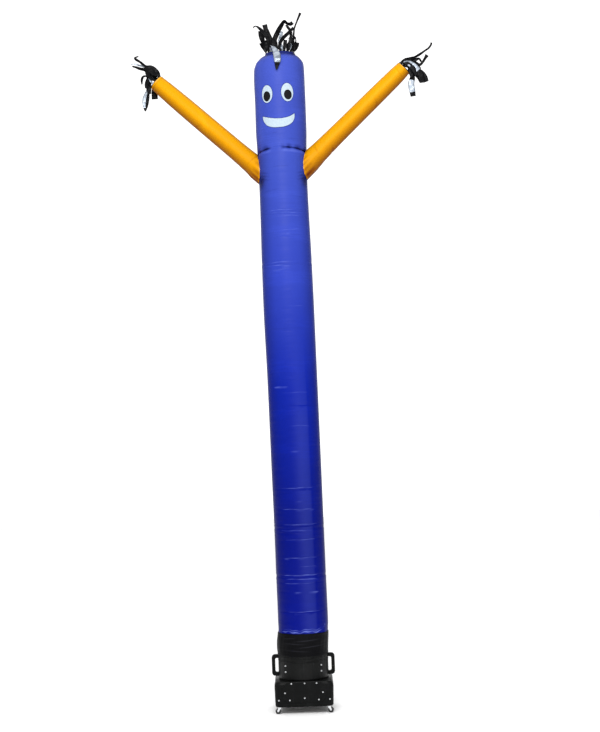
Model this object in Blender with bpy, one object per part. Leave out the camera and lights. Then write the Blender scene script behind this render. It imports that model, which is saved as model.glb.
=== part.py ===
# Inflatable air dancer standing on its blower.
# Metres, +Z up. The face looks along -Y and the viewer's left is -X.
# The origin is on the floor, under the middle of the blower.
import math

import bmesh
import bpy
from mathutils import Matrix, Vector

for old in list(bpy.data.objects):
    bpy.data.objects.remove(old, do_unlink=True)

# Sizes shared by several pieces.
fitGap = 0.0004
clothThick = 0.0025
patchThick = 0.0012
stripThick = 0.002

# The body sleeve, from the cuff seam to the rim of the crown vent.
bodySides = 36
bodyColumns = ("height", "centre_x", "radius")
bodyTable = (
    (0.700, 0.0118, 0.2290),
    (0.760, 0.0140, 0.2275),
    (1.232, 0.0090, 0.2266),
    (1.667, 0.0053, 0.2260),
    (2.104, -0.0003, 0.2272),
    (2.980, -0.0111, 0.2283),
    (3.631, -0.0222, 0.2320),
    (4.072, -0.0270, 0.2295),
    (4.515, -0.0318, 0.2234),
    (4.737, -0.0346, 0.2217),
    (4.900, -0.0360, 0.2245),
    (5.116, -0.0379, 0.2280),
    (5.283, -0.0384, 0.2335),
    (5.506, -0.0385, 0.2330),
    (5.729, -0.0410, 0.2336),
    (5.830, -0.0405, 0.2315),
    (5.893, -0.0350, 0.2220),
    (5.930, -0.0310, 0.1970),
    (5.953, -0.0280, 0.1710),
    (5.966, -0.0264, 0.1450),
    (5.982, -0.0264, 0.1430),
)
bodyRows = (
    0.7003, 0.722, 0.750, 0.800, 1.192, 1.212, 1.232, 1.622, 1.642, 1.662, 2.300, 3.000, 3.600,
    4.032, 4.052, 4.072, 4.450, 4.730, 4.870, 4.980, 5.032, 5.052, 5.072, 5.140, 5.280, 5.500,
    5.730, 5.830, 5.885, 5.930, 5.954, 5.968, 5.982,
)

# Level creases right round the sleeve: height, depth and half width.
creaseTable = (
    (1.212, 0.0040, 0.020),
    (1.642, 0.0035, 0.020),
    (4.052, 0.0040, 0.020),
)
shoulderCrease = {"height": 5.052, "depth": 0.009, "width": 0.020, "deep_at": 84.0, "least": 0.25}
# The shoulder stands higher in front, between the low and the high level.
shoulderLift = {"rise": 0.034, "middle": 5.07, "half": 0.17, "low": 4.98, "high": 5.25}
gatherAtCuff = {"count": 9, "depth": 0.0035, "height": 0.075}
gatherAtCrown = {"count": 9, "depth": 0.0040, "start": 5.85, "fade": 0.06, "phase": 0.8}
armDent = {"angle": 62.0, "height": 4.81, "depth": 0.010, "spread": 26.0, "tall": 0.075}

# Each arm sleeve: centre line from inside the body to the hand, and its radius.
armSides = 24
armColumns = ("x", "y", "z", "radius")
armHoleRows = 4
armRootLow = 4.3
armRootHigh = 5.6
leftArmTable = (
    (-0.105, 0.010, 4.790, 0.1070),
    (-0.251, 0.026, 4.926, 0.1070),
    (-0.300, 0.031, 4.972, 0.0985),
    (-0.350, 0.037, 5.018, 0.0935),
    (-0.480, 0.052, 5.138, 0.0885),
    (-0.700, 0.077, 5.341, 0.0870),
    (-0.920, 0.102, 5.545, 0.0850),
    (-1.090, 0.121, 5.703, 0.0800),
    (-1.180, 0.131, 5.787, 0.0745),
)
rightArmTable = (
    (0.030, -0.008, 4.805, 0.1030),
    (0.186, -0.026, 4.951, 0.1030),
    (0.240, -0.032, 5.001, 0.0985),
    (0.290, -0.038, 5.047, 0.0920),
    (0.440, -0.055, 5.185, 0.0850),
    (0.660, -0.080, 5.386, 0.0815),
    (0.880, -0.105, 5.587, 0.0790),
    (1.040, -0.123, 5.733, 0.0745),
    (1.098, -0.130, 5.787, 0.0690),
)

# The face, as columns of one patch each: angle round the head in degrees, low edge, high edge.
faceSkin = 0.0009
eyeLeft = {"angle": -30.0, "height": 5.5755, "wide": 13.9, "tall": 0.0825}
eyeRight = {"angle": 17.3, "height": 5.5830, "wide": 14.5, "tall": 0.0855}
pupilLeft = {"angle": -30.4, "height": 5.5550, "wide": 8.7, "tall": 0.0460}
pupilRight = {"angle": 18.2, "height": 5.5610, "wide": 9.1, "tall": 0.0450}
mouthColumns = ("angle", "low", "high")
mouthTable = (
    (-43.6, 5.3520, 5.3790),
    (-40.0, 5.3220, 5.3745),
    (-35.0, 5.2970, 5.3680),
    (-30.0, 5.2820, 5.3625),
    (-20.0, 5.2670, 5.3530),
    (-10.0, 5.2620, 5.3470),
    (0.0, 5.2630, 5.3465),
    (10.0, 5.2700, 5.3520),
    (20.0, 5.2870, 5.3650),
    (26.0, 5.3060, 5.3780),
    (30.0, 5.3270, 5.3880),
    (33.2, 5.3600, 5.3960),
)

# The black cuff that holds the sleeve on the blower.
cuffSides = 36
cuffTable = (
    (0.5000, 0.0035, 0.2294),
    (0.5600, 0.0020, 0.2328),
    (0.6180, 0.0041, 0.2344),
    (0.6600, 0.0080, 0.2336),
    (0.6997, 0.0118, 0.2300),
)

# The blower.
blowerX = 0.0035
drumRadius = 0.2265
drumWall = 0.004
drumSides = 36
drumFoot = 0.2850
drumTop = 0.6300
drumRibs = ((0.4520, 0.0022), (0.4840, 0.0022))
ribHalf = 0.0020
ribSlope = 0.0020
baseFoot = 0.0625
baseTop = drumFoot - fitGap
baseHalf = 0.2640
baseCorner = 0.0450
baseColumns = ("height", "inset")
baseTable = (
    (baseFoot, 0.010),
    (baseFoot + 0.012, 0.004),
    (0.236, 0.000),
    (0.262, 0.002),
    (baseTop, 0.014),
)
inletRadius = 0.1950
inletCut = 0.4000

# The handles at the blower's two sides.
handleReach = 0.2850
handleLow = 0.3070
handleHigh = 0.4985
handleBar = 0.0310
handleDeep = 0.0400
handleEnd = 0.0320
handleSunk = 0.0040
handleOuterCorner = 0.0300
handleInnerCorner = 0.0140

# The cover on the front of the base, and the bolts: x from the blower's middle, height.
coverHalf = 0.1950
coverLow = 0.1020
coverHigh = 0.2820
coverCut = 0.0420
coverThick = 0.0040
boltRadius = 0.0085
boltHeight = 0.0050
boltTaper = 0.7200
boltSides = 10
coverBolts = (
    (-0.1700, 0.1900),
    (0.1670, 0.1900),
    (-0.1290, 0.1260),
    (0.1290, 0.1260),
    (0.0030, 0.1420),
    (-0.1120, 0.2710),
    (0.0060, 0.2720),
    (0.1120, 0.2710),
)
cornerBolts = ((-0.2270, 0.1260), (0.2270, 0.1260))
drumBoltAngle = 45.0
drumBoltHeights = (0.4130, 0.3600)

# The casters.
casterAt = 0.2180
wheelRadius = 0.0250
wheelHalf = 0.0100
boreRadius = 0.0043
axleRadius = 0.0039
axleProud = 0.0010
trail = 0.0170
cheekThick = 0.0025
forkTop = baseFoot - fitGap
crownThick = 0.0060
crownRadius = 0.0190
stemRadius = 0.0060
stemTop = 0.0950
stemSides = 12
socketCut = 0.1000
cheekGap = 0.0008
cheekRoot = 0.0140
boreCut = 0.1000
casterTurn = {"front_left": 172.0, "front_right": -8.0, "back_left": 160.0, "back_right": 35.0}

# The fan inside the drum.
motorRadius = 0.0700
motorLow = 0.3300
motorHigh = 0.4300
strutHalf = 0.0080
strutTall = 0.0240
hubRadius = 0.0450
hubLow = 0.4400
hubHigh = 0.4900
bladeCount = 6
bladeTip = 0.2100
bladeThick = 0.0030
bladeChord = 0.0700
bladePitch = 32.0
bladeSunk = 0.0060
strutGap = 0.0015
strutRise = 0.0100
shaftRadius = 0.0080
shaftSunk = 0.0040


def makeMaterial(name, colour, roughness, metallic=0.0):
    made = bpy.data.materials.new(name)
    made.use_nodes = True
    made.diffuse_color = (*colour, 1.0)
    shader = made.node_tree.nodes["Principled BSDF"]
    shader.inputs["Base Color"].default_value = (*colour, 1.0)
    shader.inputs["Roughness"].default_value = roughness
    shader.inputs["Metallic"].default_value = metallic
    return made


blueNylon = makeMaterial("blue nylon", (0.05, 0.08, 0.62), 0.45)
orangeNylon = makeMaterial("orange nylon", (0.90, 0.38, 0.01), 0.45)
blackNylon = makeMaterial("black nylon", (0.01, 0.01, 0.012), 0.55)
stripFilm = makeMaterial("black and silver strip", (0.02, 0.02, 0.025), 0.35)
whiteNylon = makeMaterial("white nylon", (0.85, 0.88, 0.90), 0.6)
pupilNylon = makeMaterial("black patch nylon", (0.01, 0.01, 0.01), 0.6)
blackPlastic = makeMaterial("black plastic", (0.012, 0.012, 0.014), 0.45)
boltSteel = makeMaterial("bright steel", (0.60, 0.61, 0.62), 0.25, 1.0)
casterChrome = makeMaterial("chrome plate", (0.70, 0.71, 0.72), 0.12, 1.0)
wheelRubber = makeMaterial("black rubber", (0.015, 0.015, 0.015), 0.7)


def finish(name, shape, material, smooth=True):
    """Turns a bmesh into a named object."""
    bmesh.ops.recalc_face_normals(shape, faces=shape.faces)
    data = bpy.data.meshes.new(name)
    shape.to_mesh(data)
    shape.free()
    data.materials.append(material)
    made = bpy.data.objects.new(name, data)
    bpy.context.collection.objects.link(made)
    for face in data.polygons:
        face.use_smooth = smooth
    return made


def combine(target, other, operation):
    """Cuts the other object from the target or joins it on, and removes the other."""
    change = target.modifiers.new(operation.lower(), "BOOLEAN")
    change.operation = operation
    change.solver = "EXACT"
    change.object = other
    bpy.context.view_layer.update()
    bpy.context.view_layer.objects.active = target
    bpy.ops.object.modifier_apply(modifier=change.name)
    bpy.data.objects.remove(other, do_unlink=True)


def along(table, at, column):
    """Reads a table's column between its rows, whose first column rises."""
    if at <= table[0][0]:
        return table[0][column]
    for low, high in zip(table, table[1:]):
        if at <= high[0]:
            share = (at - low[0]) / (high[0] - low[0])
            return low[column] + share * (high[column] - low[column])
    return table[-1][column]


def hump(distance, width):
    """A soft fold's height: 1 at its middle and 0 from its half width on."""
    share = abs(distance) / width
    return 0.5 + 0.5 * math.cos(math.pi * share) if share < 1.0 else 0.0


def bodyPoint(height, angle, outwards=0.0):
    """A point on the body sleeve: the angle is 0 in front and grows towards +X."""
    radius = along(bodyTable, height, 2)
    for at, depth, width in creaseTable:
        radius -= depth * hump(height - at, width)
    crease = shoulderCrease
    nearSide = abs(math.cos(angle - math.radians(crease["deep_at"])))
    share = crease["least"] + (1.0 - crease["least"]) * nearSide
    radius -= crease["depth"] * share * hump(height - crease["height"], crease["width"])
    gather = gatherAtCuff
    fade = max(0.0, 1.0 - (height - bodyTable[0][0]) / gather["height"])
    radius -= gather["depth"] * fade * (0.5 + 0.5 * math.cos(gather["count"] * angle))
    gather = gatherAtCrown
    if height > gather["start"]:
        fade = min(1.0, (height - gather["start"]) / gather["fade"])
        radius -= gather["depth"] * fade * (0.5 + 0.5 * math.cos(gather["count"] * angle + gather["phase"]))
    for side in (-1.0, 1.0):
        off = math.degrees(angle) - side * armDent["angle"]
        dent = hump(off, armDent["spread"]) * hump(height - armDent["height"], armDent["tall"])
        radius -= armDent["depth"] * dent
    raised = height
    lift = shoulderLift
    if lift["low"] < height < lift["high"]:
        raised += lift["rise"] * math.cos(angle) * hump(height - lift["middle"], lift["half"])
    radius += outwards
    middle = along(bodyTable, height, 1)
    return Vector((middle + radius * math.sin(angle), -radius * math.cos(angle), raised))


def shell(rows, sides, outer, inner, innerRows=None):
    """A closed sleeve wall between two families of rings, open at both ends."""
    shape = bmesh.new()
    rings = []
    for place, levels in ((outer, rows), (inner, innerRows or rows)):
        family = []
        for row in levels:
            ring = [shape.verts.new(place(row, 2 * math.pi * k / sides)) for k in range(sides)]
            family.append(ring)
        rings.append(family)

    def band(first, second):
        for k in range(sides):
            after = (k + 1) % sides
            shape.faces.new((first[k], first[after], second[after], second[k]))

    for family in rings:
        for first, second in zip(family, family[1:]):
            band(first, second)
    band(rings[0][0], rings[1][0])
    band(rings[0][-1], rings[1][-1])
    return shape


def armPoint(table, position, angle, outwards=0.0):
    """A point on an arm sleeve at a position counted in rows of its table."""
    index = min(int(position), len(table) - 2)
    share = position - index
    low, high = Vector(table[index][:3]), Vector(table[index + 1][:3])
    start, end = Vector(table[0][:3]), Vector(table[-1][:3])
    direction = (end - start).normalized()
    across = direction.cross(Vector((0.0, 0.0, 1.0))).normalized()
    upright = across.cross(direction).normalized()
    radius = table[index][3] + share * (table[index + 1][3] - table[index][3]) + outwards
    middle = low.lerp(high, share)
    return middle + radius * (math.cos(angle) * across + math.sin(angle) * upright)


def solidBar(rings):
    """A closed solid through rings of equal count, capped at both ends."""
    shape = bmesh.new()
    built = [[shape.verts.new(point) for point in ring] for ring in rings]
    count = len(rings[0])
    for first, second in zip(built, built[1:]):
        for k in range(count):
            after = (k + 1) % count
            shape.faces.new((first[k], first[after], second[after], second[k]))
    shape.faces.new(built[0])
    shape.faces.new(built[-1])
    return shape


def cylinder(middle, radius, length, axis="Z", sides=24, turn=0.0):
    """A closed cylinder about its middle."""
    shape = bmesh.new()
    bmesh.ops.create_cone(
        shape, cap_ends=True, segments=sides, radius1=radius, radius2=radius, depth=length
    )
    bmesh.ops.rotate(shape, verts=shape.verts, matrix=Matrix.Rotation(turn, 3, "Z"))
    if axis == "X":
        bmesh.ops.rotate(shape, verts=shape.verts, matrix=Matrix.Rotation(math.pi / 2, 3, "Y"))
    if axis == "Y":
        bmesh.ops.rotate(shape, verts=shape.verts, matrix=Matrix.Rotation(math.pi / 2, 3, "X"))
    bmesh.ops.translate(shape, verts=shape.verts, vec=Vector(middle))
    return shape


def box(low, high):
    """A closed box between two corners."""
    shape = bmesh.new()
    bmesh.ops.create_cube(shape, size=1.0)
    low, high = Vector(low), Vector(high)
    bmesh.ops.scale(shape, verts=shape.verts, vec=high - low)
    bmesh.ops.translate(shape, verts=shape.verts, vec=(low + high) / 2)
    return shape


# The body sleeve, with a hole at each arm.
body = finish(
    "body_tube",
    shell(bodyRows, bodySides, lambda z, a: bodyPoint(z, a), lambda z, a: bodyPoint(z, a, -clothThick)),
    blueNylon,
)


def bodyCore(grow):
    """The space inside the body sleeve's outer face near the arms, grown outwards."""
    rows = [z for z in bodyRows if armRootLow < z < armRootHigh]
    count = bodySides
    rings = [[bodyPoint(z, 2 * math.pi * k / count, grow) for k in range(count)] for z in rows]
    return solidBar(rings)


def armSleeve(name, table):
    """An arm sleeve, cut off along the body's wall, and the hole it opens there."""
    rows = list(range(len(table)))
    sleeve = finish(
        name,
        shell(
            rows,
            armSides,
            lambda s, a: armPoint(table, s, a),
            lambda s, a: armPoint(table, s, a, -clothThick),
        ),
        orangeNylon,
    )
    combine(sleeve, finish("body space", bodyCore(fitGap), blueNylon), "DIFFERENCE")
    rings = [
        [armPoint(table, s, 2 * math.pi * k / armSides, -clothThick) for k in range(armSides)]
        for s in range(armHoleRows)
    ]
    combine(body, finish("arm space", solidBar(rings), blueNylon), "DIFFERENCE")
    return sleeve


armLeft = armSleeve("arm_left", leftArmTable)
armRight = armSleeve("arm_right", rightArmTable)

# The black cuff.
def cuffPoint(height, angle, outwards=0.0):
    radius = along(cuffTable, height, 2) + outwards
    middle = along(cuffTable, height, 1)
    return Vector((middle + radius * math.sin(angle), -radius * math.cos(angle), height))


finish(
    "base_cuff",
    shell(
        [row[0] for row in cuffTable],
        cuffSides,
        lambda z, a: cuffPoint(z, a),
        lambda z, a: cuffPoint(z, a, -clothThick),
    ),
    blackNylon,
)


def patch(name, columns, levels, material, lift):
    """A thin patch that follows the head, from columns of angle, low edge and high edge."""
    shape = bmesh.new()
    sheets = []
    for outwards in (lift, lift + patchThick):
        sheet = []
        for angle, low, high in columns:
            column = []
            for step in range(levels + 1):
                height = low + (high - low) * step / levels
                column.append(shape.verts.new(bodyPoint(height, math.radians(angle), outwards)))
            sheet.append(column)
        sheets.append(sheet)
    for sheet in sheets:
        for first, second in zip(sheet, sheet[1:]):
            for step in range(levels):
                shape.faces.new((first[step], first[step + 1], second[step + 1], second[step]))
    under, over = sheets
    for step in range(levels):
        for column in (0, -1):
            shape.faces.new(
                (under[column][step], under[column][step + 1], over[column][step + 1], over[column][step])
            )
    for step in (0, levels):
        for first in range(len(columns) - 1):
            shape.faces.new(
                (under[first][step], under[first + 1][step], over[first + 1][step], over[first][step])
            )
    return finish(name, shape, material)


def ovalColumns(oval, count=10):
    """Columns of an oval patch, closer together at its two sides."""
    columns = []
    for step in range(count + 1):
        turn = math.pi * (0.045 + 0.91 * step / count)
        half = oval["tall"] * math.sin(turn)
        angle = oval["angle"] - oval["wide"] * math.cos(turn)
        columns.append((angle, oval["height"] - half, oval["height"] + half))
    return columns


patch("eye_left", ovalColumns(eyeLeft), 2, whiteNylon, faceSkin)
patch("eye_right", ovalColumns(eyeRight), 2, whiteNylon, faceSkin)
pupilLift = faceSkin + patchThick + fitGap
patch("pupil_left", ovalColumns(pupilLeft, 8), 2, pupilNylon, pupilLift)
patch("pupil_right", ovalColumns(pupilRight, 8), 2, pupilNylon, pupilLift)
patch("mouth", mouthTable, 1, whiteNylon, faceSkin)

# Streamer strips. Each starts at an angle round its backing band, in degrees, and then runs through
# points with a width and the turn of its face in degrees: 0 lays the width in the view from the front.
stripColumns = ("x", "y", "z", "width", "turn")
steepRun = 0.35
hairStrips = (
    (
        -52,
        (-0.119, -0.080, 6.042, 0.034, -30), (-0.124, -0.076, 6.094, 0.038, -15),
        (-0.145, -0.070, 6.139, 0.040, 0), (-0.174, -0.064, 6.182, 0.038, 10),
        (-0.204, -0.058, 6.216, 0.034, 20), (-0.233, -0.052, 6.239, 0.026, 30),
        (-0.257, -0.048, 6.237, 0.016, 40), (-0.268, -0.046, 6.222, 0.008, 45),
    ),
    (
        -84,
        (-0.168, -0.016, 6.055, 0.038, -60), (-0.180, -0.012, 6.108, 0.046, -30),
        (-0.192, -0.008, 6.160, 0.052, -5), (-0.200, -0.006, 6.209, 0.044, 0),
    ),
    (
        -118,
        (-0.172, 0.060, 6.050, 0.028, 30), (-0.191, 0.058, 6.080, 0.026, 20),
        (-0.209, 0.056, 6.110, 0.018, 10),
    ),
    (
        -150,
        (-0.097, 0.112, 6.094, 0.032, 25), (-0.108, 0.106, 6.159, 0.034, 12),
        (-0.132, 0.100, 6.213, 0.038, 5), (-0.152, 0.094, 6.253, 0.044, 0),
        (-0.161, 0.090, 6.292, 0.048, 0),
    ),
    (
        -16,
        (-0.080, -0.116, 6.023, 0.036, -5), (-0.078, -0.108, 6.075, 0.044, 5),
        (-0.057, -0.100, 6.135, 0.046, 15), (-0.026, -0.092, 6.196, 0.044, 25),
        (0.001, -0.084, 6.241, 0.040, 35), (0.022, -0.078, 6.268, 0.038, 45),
        (0.049, -0.072, 6.253, 0.034, 35), (0.079, -0.066, 6.247, 0.034, 20),
        (0.099, -0.062, 6.263, 0.036, 10),
    ),
    (
        170,
        (-0.012, 0.128, 6.077, 0.034, -8), (-0.026, 0.124, 6.128, 0.034, 0),
        (-0.016, 0.120, 6.183, 0.034, 10), (-0.005, 0.116, 6.231, 0.030, 20),
    ),
    (
        50,
        (0.091, -0.082, 6.020, 0.026, 40), (0.100, -0.077, 6.077, 0.022, 30),
        (0.105, -0.072, 6.143, 0.018, 20), (0.113, -0.068, 6.203, 0.016, 10),
        (0.138, -0.064, 6.269, 0.016, 5), (0.162, -0.060, 6.324, 0.022, 0),
        (0.172, -0.058, 6.350, 0.026, 0),
    ),
    (
        2,
        (-0.031, -0.128, 6.013, 0.026, 0), (-0.022, -0.126, 6.054, 0.030, 15),
        (-0.005, -0.124, 6.090, 0.034, 25), (0.024, -0.122, 6.121, 0.034, 25),
        (0.057, -0.120, 6.150, 0.032, 20), (0.086, -0.118, 6.180, 0.028, 10),
        (0.105, -0.116, 6.202, 0.022, 0),
    ),
    (
        115,
        (0.101, 0.056, 6.068, 0.040, -62), (0.125, 0.048, 6.123, 0.034, -72),
        (0.098, 0.040, 6.161, 0.028, -84), (0.056, 0.034, 6.139, 0.022, -88),
        (0.058, 0.030, 6.091, 0.016, -90),
    ),
    (
        82,
        (0.121, -0.020, 6.026, 0.040, 55), (0.133, -0.024, 6.058, 0.038, 30),
        (0.139, -0.028, 6.084, 0.034, 15),
    ),
    (
        146,
        (0.046, 0.108, 6.081, 0.030, -22), (0.083, 0.102, 6.138, 0.030, -5),
        (0.123, 0.096, 6.167, 0.024, 10),
    ),
    (
        -35,
        (-0.111, -0.142, 6.021, 0.022, -28), (-0.099, -0.170, 6.026, 0.026, -15),
        (-0.076, -0.200, 5.991, 0.042, 0), (-0.057, -0.226, 5.938, 0.062, 3),
        (-0.050, -0.246, 5.879, 0.062, 5), (-0.056, -0.257, 5.826, 0.038, 5),
        (-0.061, -0.262, 5.783, 0.012, 5),
    ),
    (
        34,
        (0.058, -0.102, 6.016, 0.022, 10), (0.069, -0.098, 6.072, 0.028, 5),
        (0.080, -0.095, 6.128, 0.028, 0), (0.075, -0.094, 6.175, 0.028, 0),
        (0.055, -0.094, 6.209, 0.026, 0), (0.037, -0.094, 6.232, 0.020, 0),
    ),
    (
        18,
        (0.016, -0.112, 6.010, 0.026, 5), (0.023, -0.106, 6.053, 0.036, 0),
        (0.028, -0.100, 6.094, 0.032, 0),
    ),
    (
        -68,
        (-0.144, -0.052, 6.023, 0.030, -20), (-0.147, -0.050, 6.060, 0.032, 0),
        (-0.153, -0.048, 6.093, 0.026, 0),
    ),
    (
        -101,
        (-0.153, 0.026, 6.043, 0.032, -40), (-0.148, 0.030, 6.089, 0.036, -20),
        (-0.152, 0.034, 6.132, 0.030, 0),
    ),
    (
        -134,
        (-0.124, 0.090, 6.062, 0.034, 10), (-0.126, 0.082, 6.106, 0.038, 0),
        (-0.132, 0.074, 6.150, 0.030, 0),
    ),
    (
        -168,
        (-0.059, 0.130, 6.073, 0.034, 0), (-0.065, 0.128, 6.121, 0.036, 0),
        (-0.070, 0.126, 6.165, 0.028, 0),
    ),
    (
        130,
        (0.079, 0.086, 6.058, 0.034, 0), (0.084, 0.082, 6.099, 0.036, 0),
        (0.081, 0.078, 6.140, 0.030, 0),
    ),
    (
        66,
        (0.103, -0.050, 6.019, 0.032, 10), (0.101, -0.046, 6.055, 0.034, 0),
        (0.093, -0.042, 6.088, 0.030, 0),
    ),
)
leftHandStrips = (
    (
        95,
        (-1.188, 0.122, 5.897, 0.048, 0), (-1.230, 0.118, 5.927, 0.050, 10),
        (-1.281, 0.112, 5.944, 0.028, 30), (-1.324, 0.108, 5.981, 0.028, 30),
        (-1.361, 0.110, 6.005, 0.026, 15), (-1.376, 0.112, 6.025, 0.018, 10),
        (-1.343, 0.114, 6.039, 0.010, 0),
    ),
    (
        0,
        (-1.246, 0.196, 5.888, 0.040, 60), (-1.285, 0.182, 5.924, 0.034, 30),
        (-1.337, 0.166, 5.935, 0.028, 15), (-1.377, 0.156, 5.949, 0.022, 10),
        (-1.408, 0.150, 5.956, 0.014, 5),
    ),
    (
        45,
        (-1.209, 0.168, 5.907, 0.036, 40), (-1.273, 0.160, 5.946, 0.024, 20),
        (-1.337, 0.154, 5.962, 0.018, 5), (-1.385, 0.150, 5.976, 0.014, 5),
        (-1.418, 0.148, 5.976, 0.010, 0),
    ),
    (
        180,
        (-1.228, 0.072, 5.823, 0.048, 40), (-1.256, 0.078, 5.857, 0.044, 20),
        (-1.270, 0.084, 5.890, 0.030, 10),
    ),
    (
        232,
        (-1.263, 0.102, 5.836, 0.020, 60), (-1.285, 0.104, 5.849, 0.022, 60),
        (-1.307, 0.106, 5.841, 0.024, 60), (-1.318, 0.108, 5.813, 0.024, 60),
        (-1.317, 0.110, 5.773, 0.014, 60),
    ),
    (
        270,
        (-1.252, 0.138, 5.758, 0.022, 60), (-1.267, 0.134, 5.716, 0.040, 20),
        (-1.285, 0.126, 5.644, 0.064, 5), (-1.292, 0.122, 5.578, 0.052, 0),
        (-1.294, 0.120, 5.523, 0.012, 0),
    ),
    (
        318,
        (-1.219, 0.196, 5.791, 0.024, -70), (-1.221, 0.206, 5.759, 0.040, -40),
        (-1.213, 0.210, 5.713, 0.056, -10), (-1.211, 0.210, 5.652, 0.058, 0),
    ),
    (
        122,
        (-1.193, 0.100, 5.865, 0.044, 20), (-1.229, 0.098, 5.894, 0.050, 15),
        (-1.262, 0.098, 5.909, 0.036, 15), (-1.295, 0.100, 5.923, 0.024, 10),
    ),
    (
        68,
        (-1.183, 0.146, 5.900, 0.044, 20), (-1.227, 0.142, 5.925, 0.046, 10),
        (-1.267, 0.138, 5.933, 0.028, 10),
    ),
    (
        22,
        (-1.225, 0.188, 5.882, 0.040, 50), (-1.259, 0.176, 5.908, 0.040, 20),
        (-1.287, 0.172, 5.929, 0.024, 10),
    ),
)
rightHandStrips = (
    (
        100,
        (1.110, -0.130, 5.861, 0.036, 0), (1.155, -0.138, 5.871, 0.030, 15),
        (1.201, -0.146, 5.882, 0.028, 25), (1.243, -0.152, 5.903, 0.024, 20),
        (1.289, -0.157, 5.932, 0.018, 10), (1.330, -0.160, 5.959, 0.018, 5),
        (1.353, -0.162, 5.989, 0.018, 0), (1.356, -0.163, 6.009, 0.018, 0),
    ),
    (
        150,
        (1.128, -0.078, 5.853, 0.034, -20), (1.170, -0.084, 5.861, 0.030, -20),
        (1.211, -0.090, 5.849, 0.026, -10), (1.248, -0.094, 5.823, 0.026, 0),
        (1.278, -0.098, 5.849, 0.024, 0), (1.301, -0.102, 5.882, 0.026, 0),
        (1.320, -0.104, 5.910, 0.036, 0),
    ),
    (
        205,
        (1.168, -0.070, 5.782, 0.046, -30), (1.210, -0.064, 5.782, 0.056, -15),
        (1.252, -0.062, 5.760, 0.060, -5), (1.289, -0.062, 5.720, 0.056, 0),
        (1.307, -0.062, 5.671, 0.046, 0),
    ),
    (
        55,
        (1.123, -0.178, 5.827, 0.044, 30), (1.165, -0.194, 5.804, 0.056, 15),
        (1.205, -0.202, 5.765, 0.060, 5), (1.238, -0.204, 5.720, 0.056, 0),
        (1.254, -0.203, 5.672, 0.052, 0), (1.258, -0.202, 5.632, 0.048, 0),
    ),
    (
        305,
        (1.169, -0.160, 5.738, 0.026, 15), (1.173, -0.158, 5.692, 0.048, 0),
        (1.160, -0.157, 5.634, 0.058, 0), (1.167, -0.157, 5.575, 0.056, 0),
        (1.174, -0.157, 5.520, 0.048, 0),
    ),
    (
        78,
        (1.125, -0.156, 5.842, 0.042, 20), (1.170, -0.168, 5.824, 0.048, 10),
        (1.212, -0.176, 5.795, 0.044, 5), (1.245, -0.180, 5.760, 0.030, 0),
    ),
    (
        245,
        (1.177, -0.098, 5.752, 0.040, 0), (1.212, -0.092, 5.743, 0.048, 0),
        (1.244, -0.090, 5.708, 0.048, 0), (1.259, -0.090, 5.668, 0.042, 0),
    ),
    (
        125,
        (1.117, -0.104, 5.862, 0.038, -10), (1.163, -0.110, 5.870, 0.036, 0),
        (1.206, -0.116, 5.865, 0.030, 0), (1.242, -0.120, 5.874, 0.024, 0),
        (1.260, -0.122, 5.845, 0.018, 0),
    ),
)


def stripRings(root, points):
    """The four corners of a strip where it leaves its band and at each of its points."""
    middle, along, across, rise, rootWidth = root
    places = [middle, middle + along * rise] + [Vector(row[:3]) for row in points]
    rings = []
    last = None
    for index, middle in enumerate(places):
        before = places[max(index - 1, 0)]
        after = places[min(index + 1, len(places) - 1)]
        run = (after - before).normalized()
        if index < 2:
            run, wide, width = Vector(along), Vector(across), rootWidth
        else:
            width, turn = points[index - 2][3:]
            level = Vector((1.0, 0.0, 0.0)) - run * run.x
            if level.length < steepRun:
                level = Vector((0.0, 0.0, 1.0)) - run * run.z
            wide = Matrix.Rotation(math.radians(turn), 3, run) @ level.normalized()
        if last is not None and wide.dot(last) < 0.0:
            wide = -wide
        last = wide.copy()
        thin = run.cross(wide).normalized() * stripThick / 2
        wide = wide * width / 2
        rings.append([middle - wide - thin, middle + wide - thin, middle + wide + thin, middle - wide + thin])
    return rings


def stripSolid(rings):
    """A closed strip of four sides, whose two faces are split along the same diagonals."""
    shape = bmesh.new()
    built = [[shape.verts.new(point) for point in ring] for ring in rings]
    for first, second in zip(built, built[1:]):
        for k in range(4):
            after = (k + 1) % 4
            quad = (first[k], first[after], second[after], second[k])
            if k < 2:
                shape.faces.new((quad[0], quad[1], quad[2]))
                shape.faces.new((quad[0], quad[2], quad[3]))
            else:
                shape.faces.new((quad[0], quad[1], quad[3]))
                shape.faces.new((quad[1], quad[2], quad[3]))
    shape.faces.new(built[0])
    shape.faces.new(built[-1])
    return shape


def bunch(name, backing, roots, strips):
    """Strips joined at their roots to one backing band."""
    made = finish(name, backing, stripFilm)
    for number, (angle, *points) in enumerate(strips):
        rings = stripRings(roots(math.radians(angle)), points)
        strip = finish("strip " + str(number), stripSolid(rings), stripFilm)
        combine(made, strip, "UNION")
    return made


crownBand = {"radius": 0.1360, "low": 5.954, "high": 5.986, "wall": 0.003, "rise": 0.026, "root": 0.024}
bandX = bodyTable[-1][1]


def crownPoint(height, angle, inwards=0.0):
    """A point on the backing band inside the crown's vent."""
    radius = crownBand["radius"] - inwards
    return Vector((bandX + radius * math.sin(angle), -radius * math.cos(angle), height))


def crownRoot(angle):
    """Where a strip starts on the crown's band, which way it leaves and which way its width lies."""
    middle = crownPoint((crownBand["low"] + crownBand["high"]) / 2, angle, crownBand["wall"] / 2)
    across = Vector((math.cos(angle), math.sin(angle), 0.0))
    return middle, Vector((0.0, 0.0, 1.0)), across, crownBand["rise"], crownBand["root"]


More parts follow.
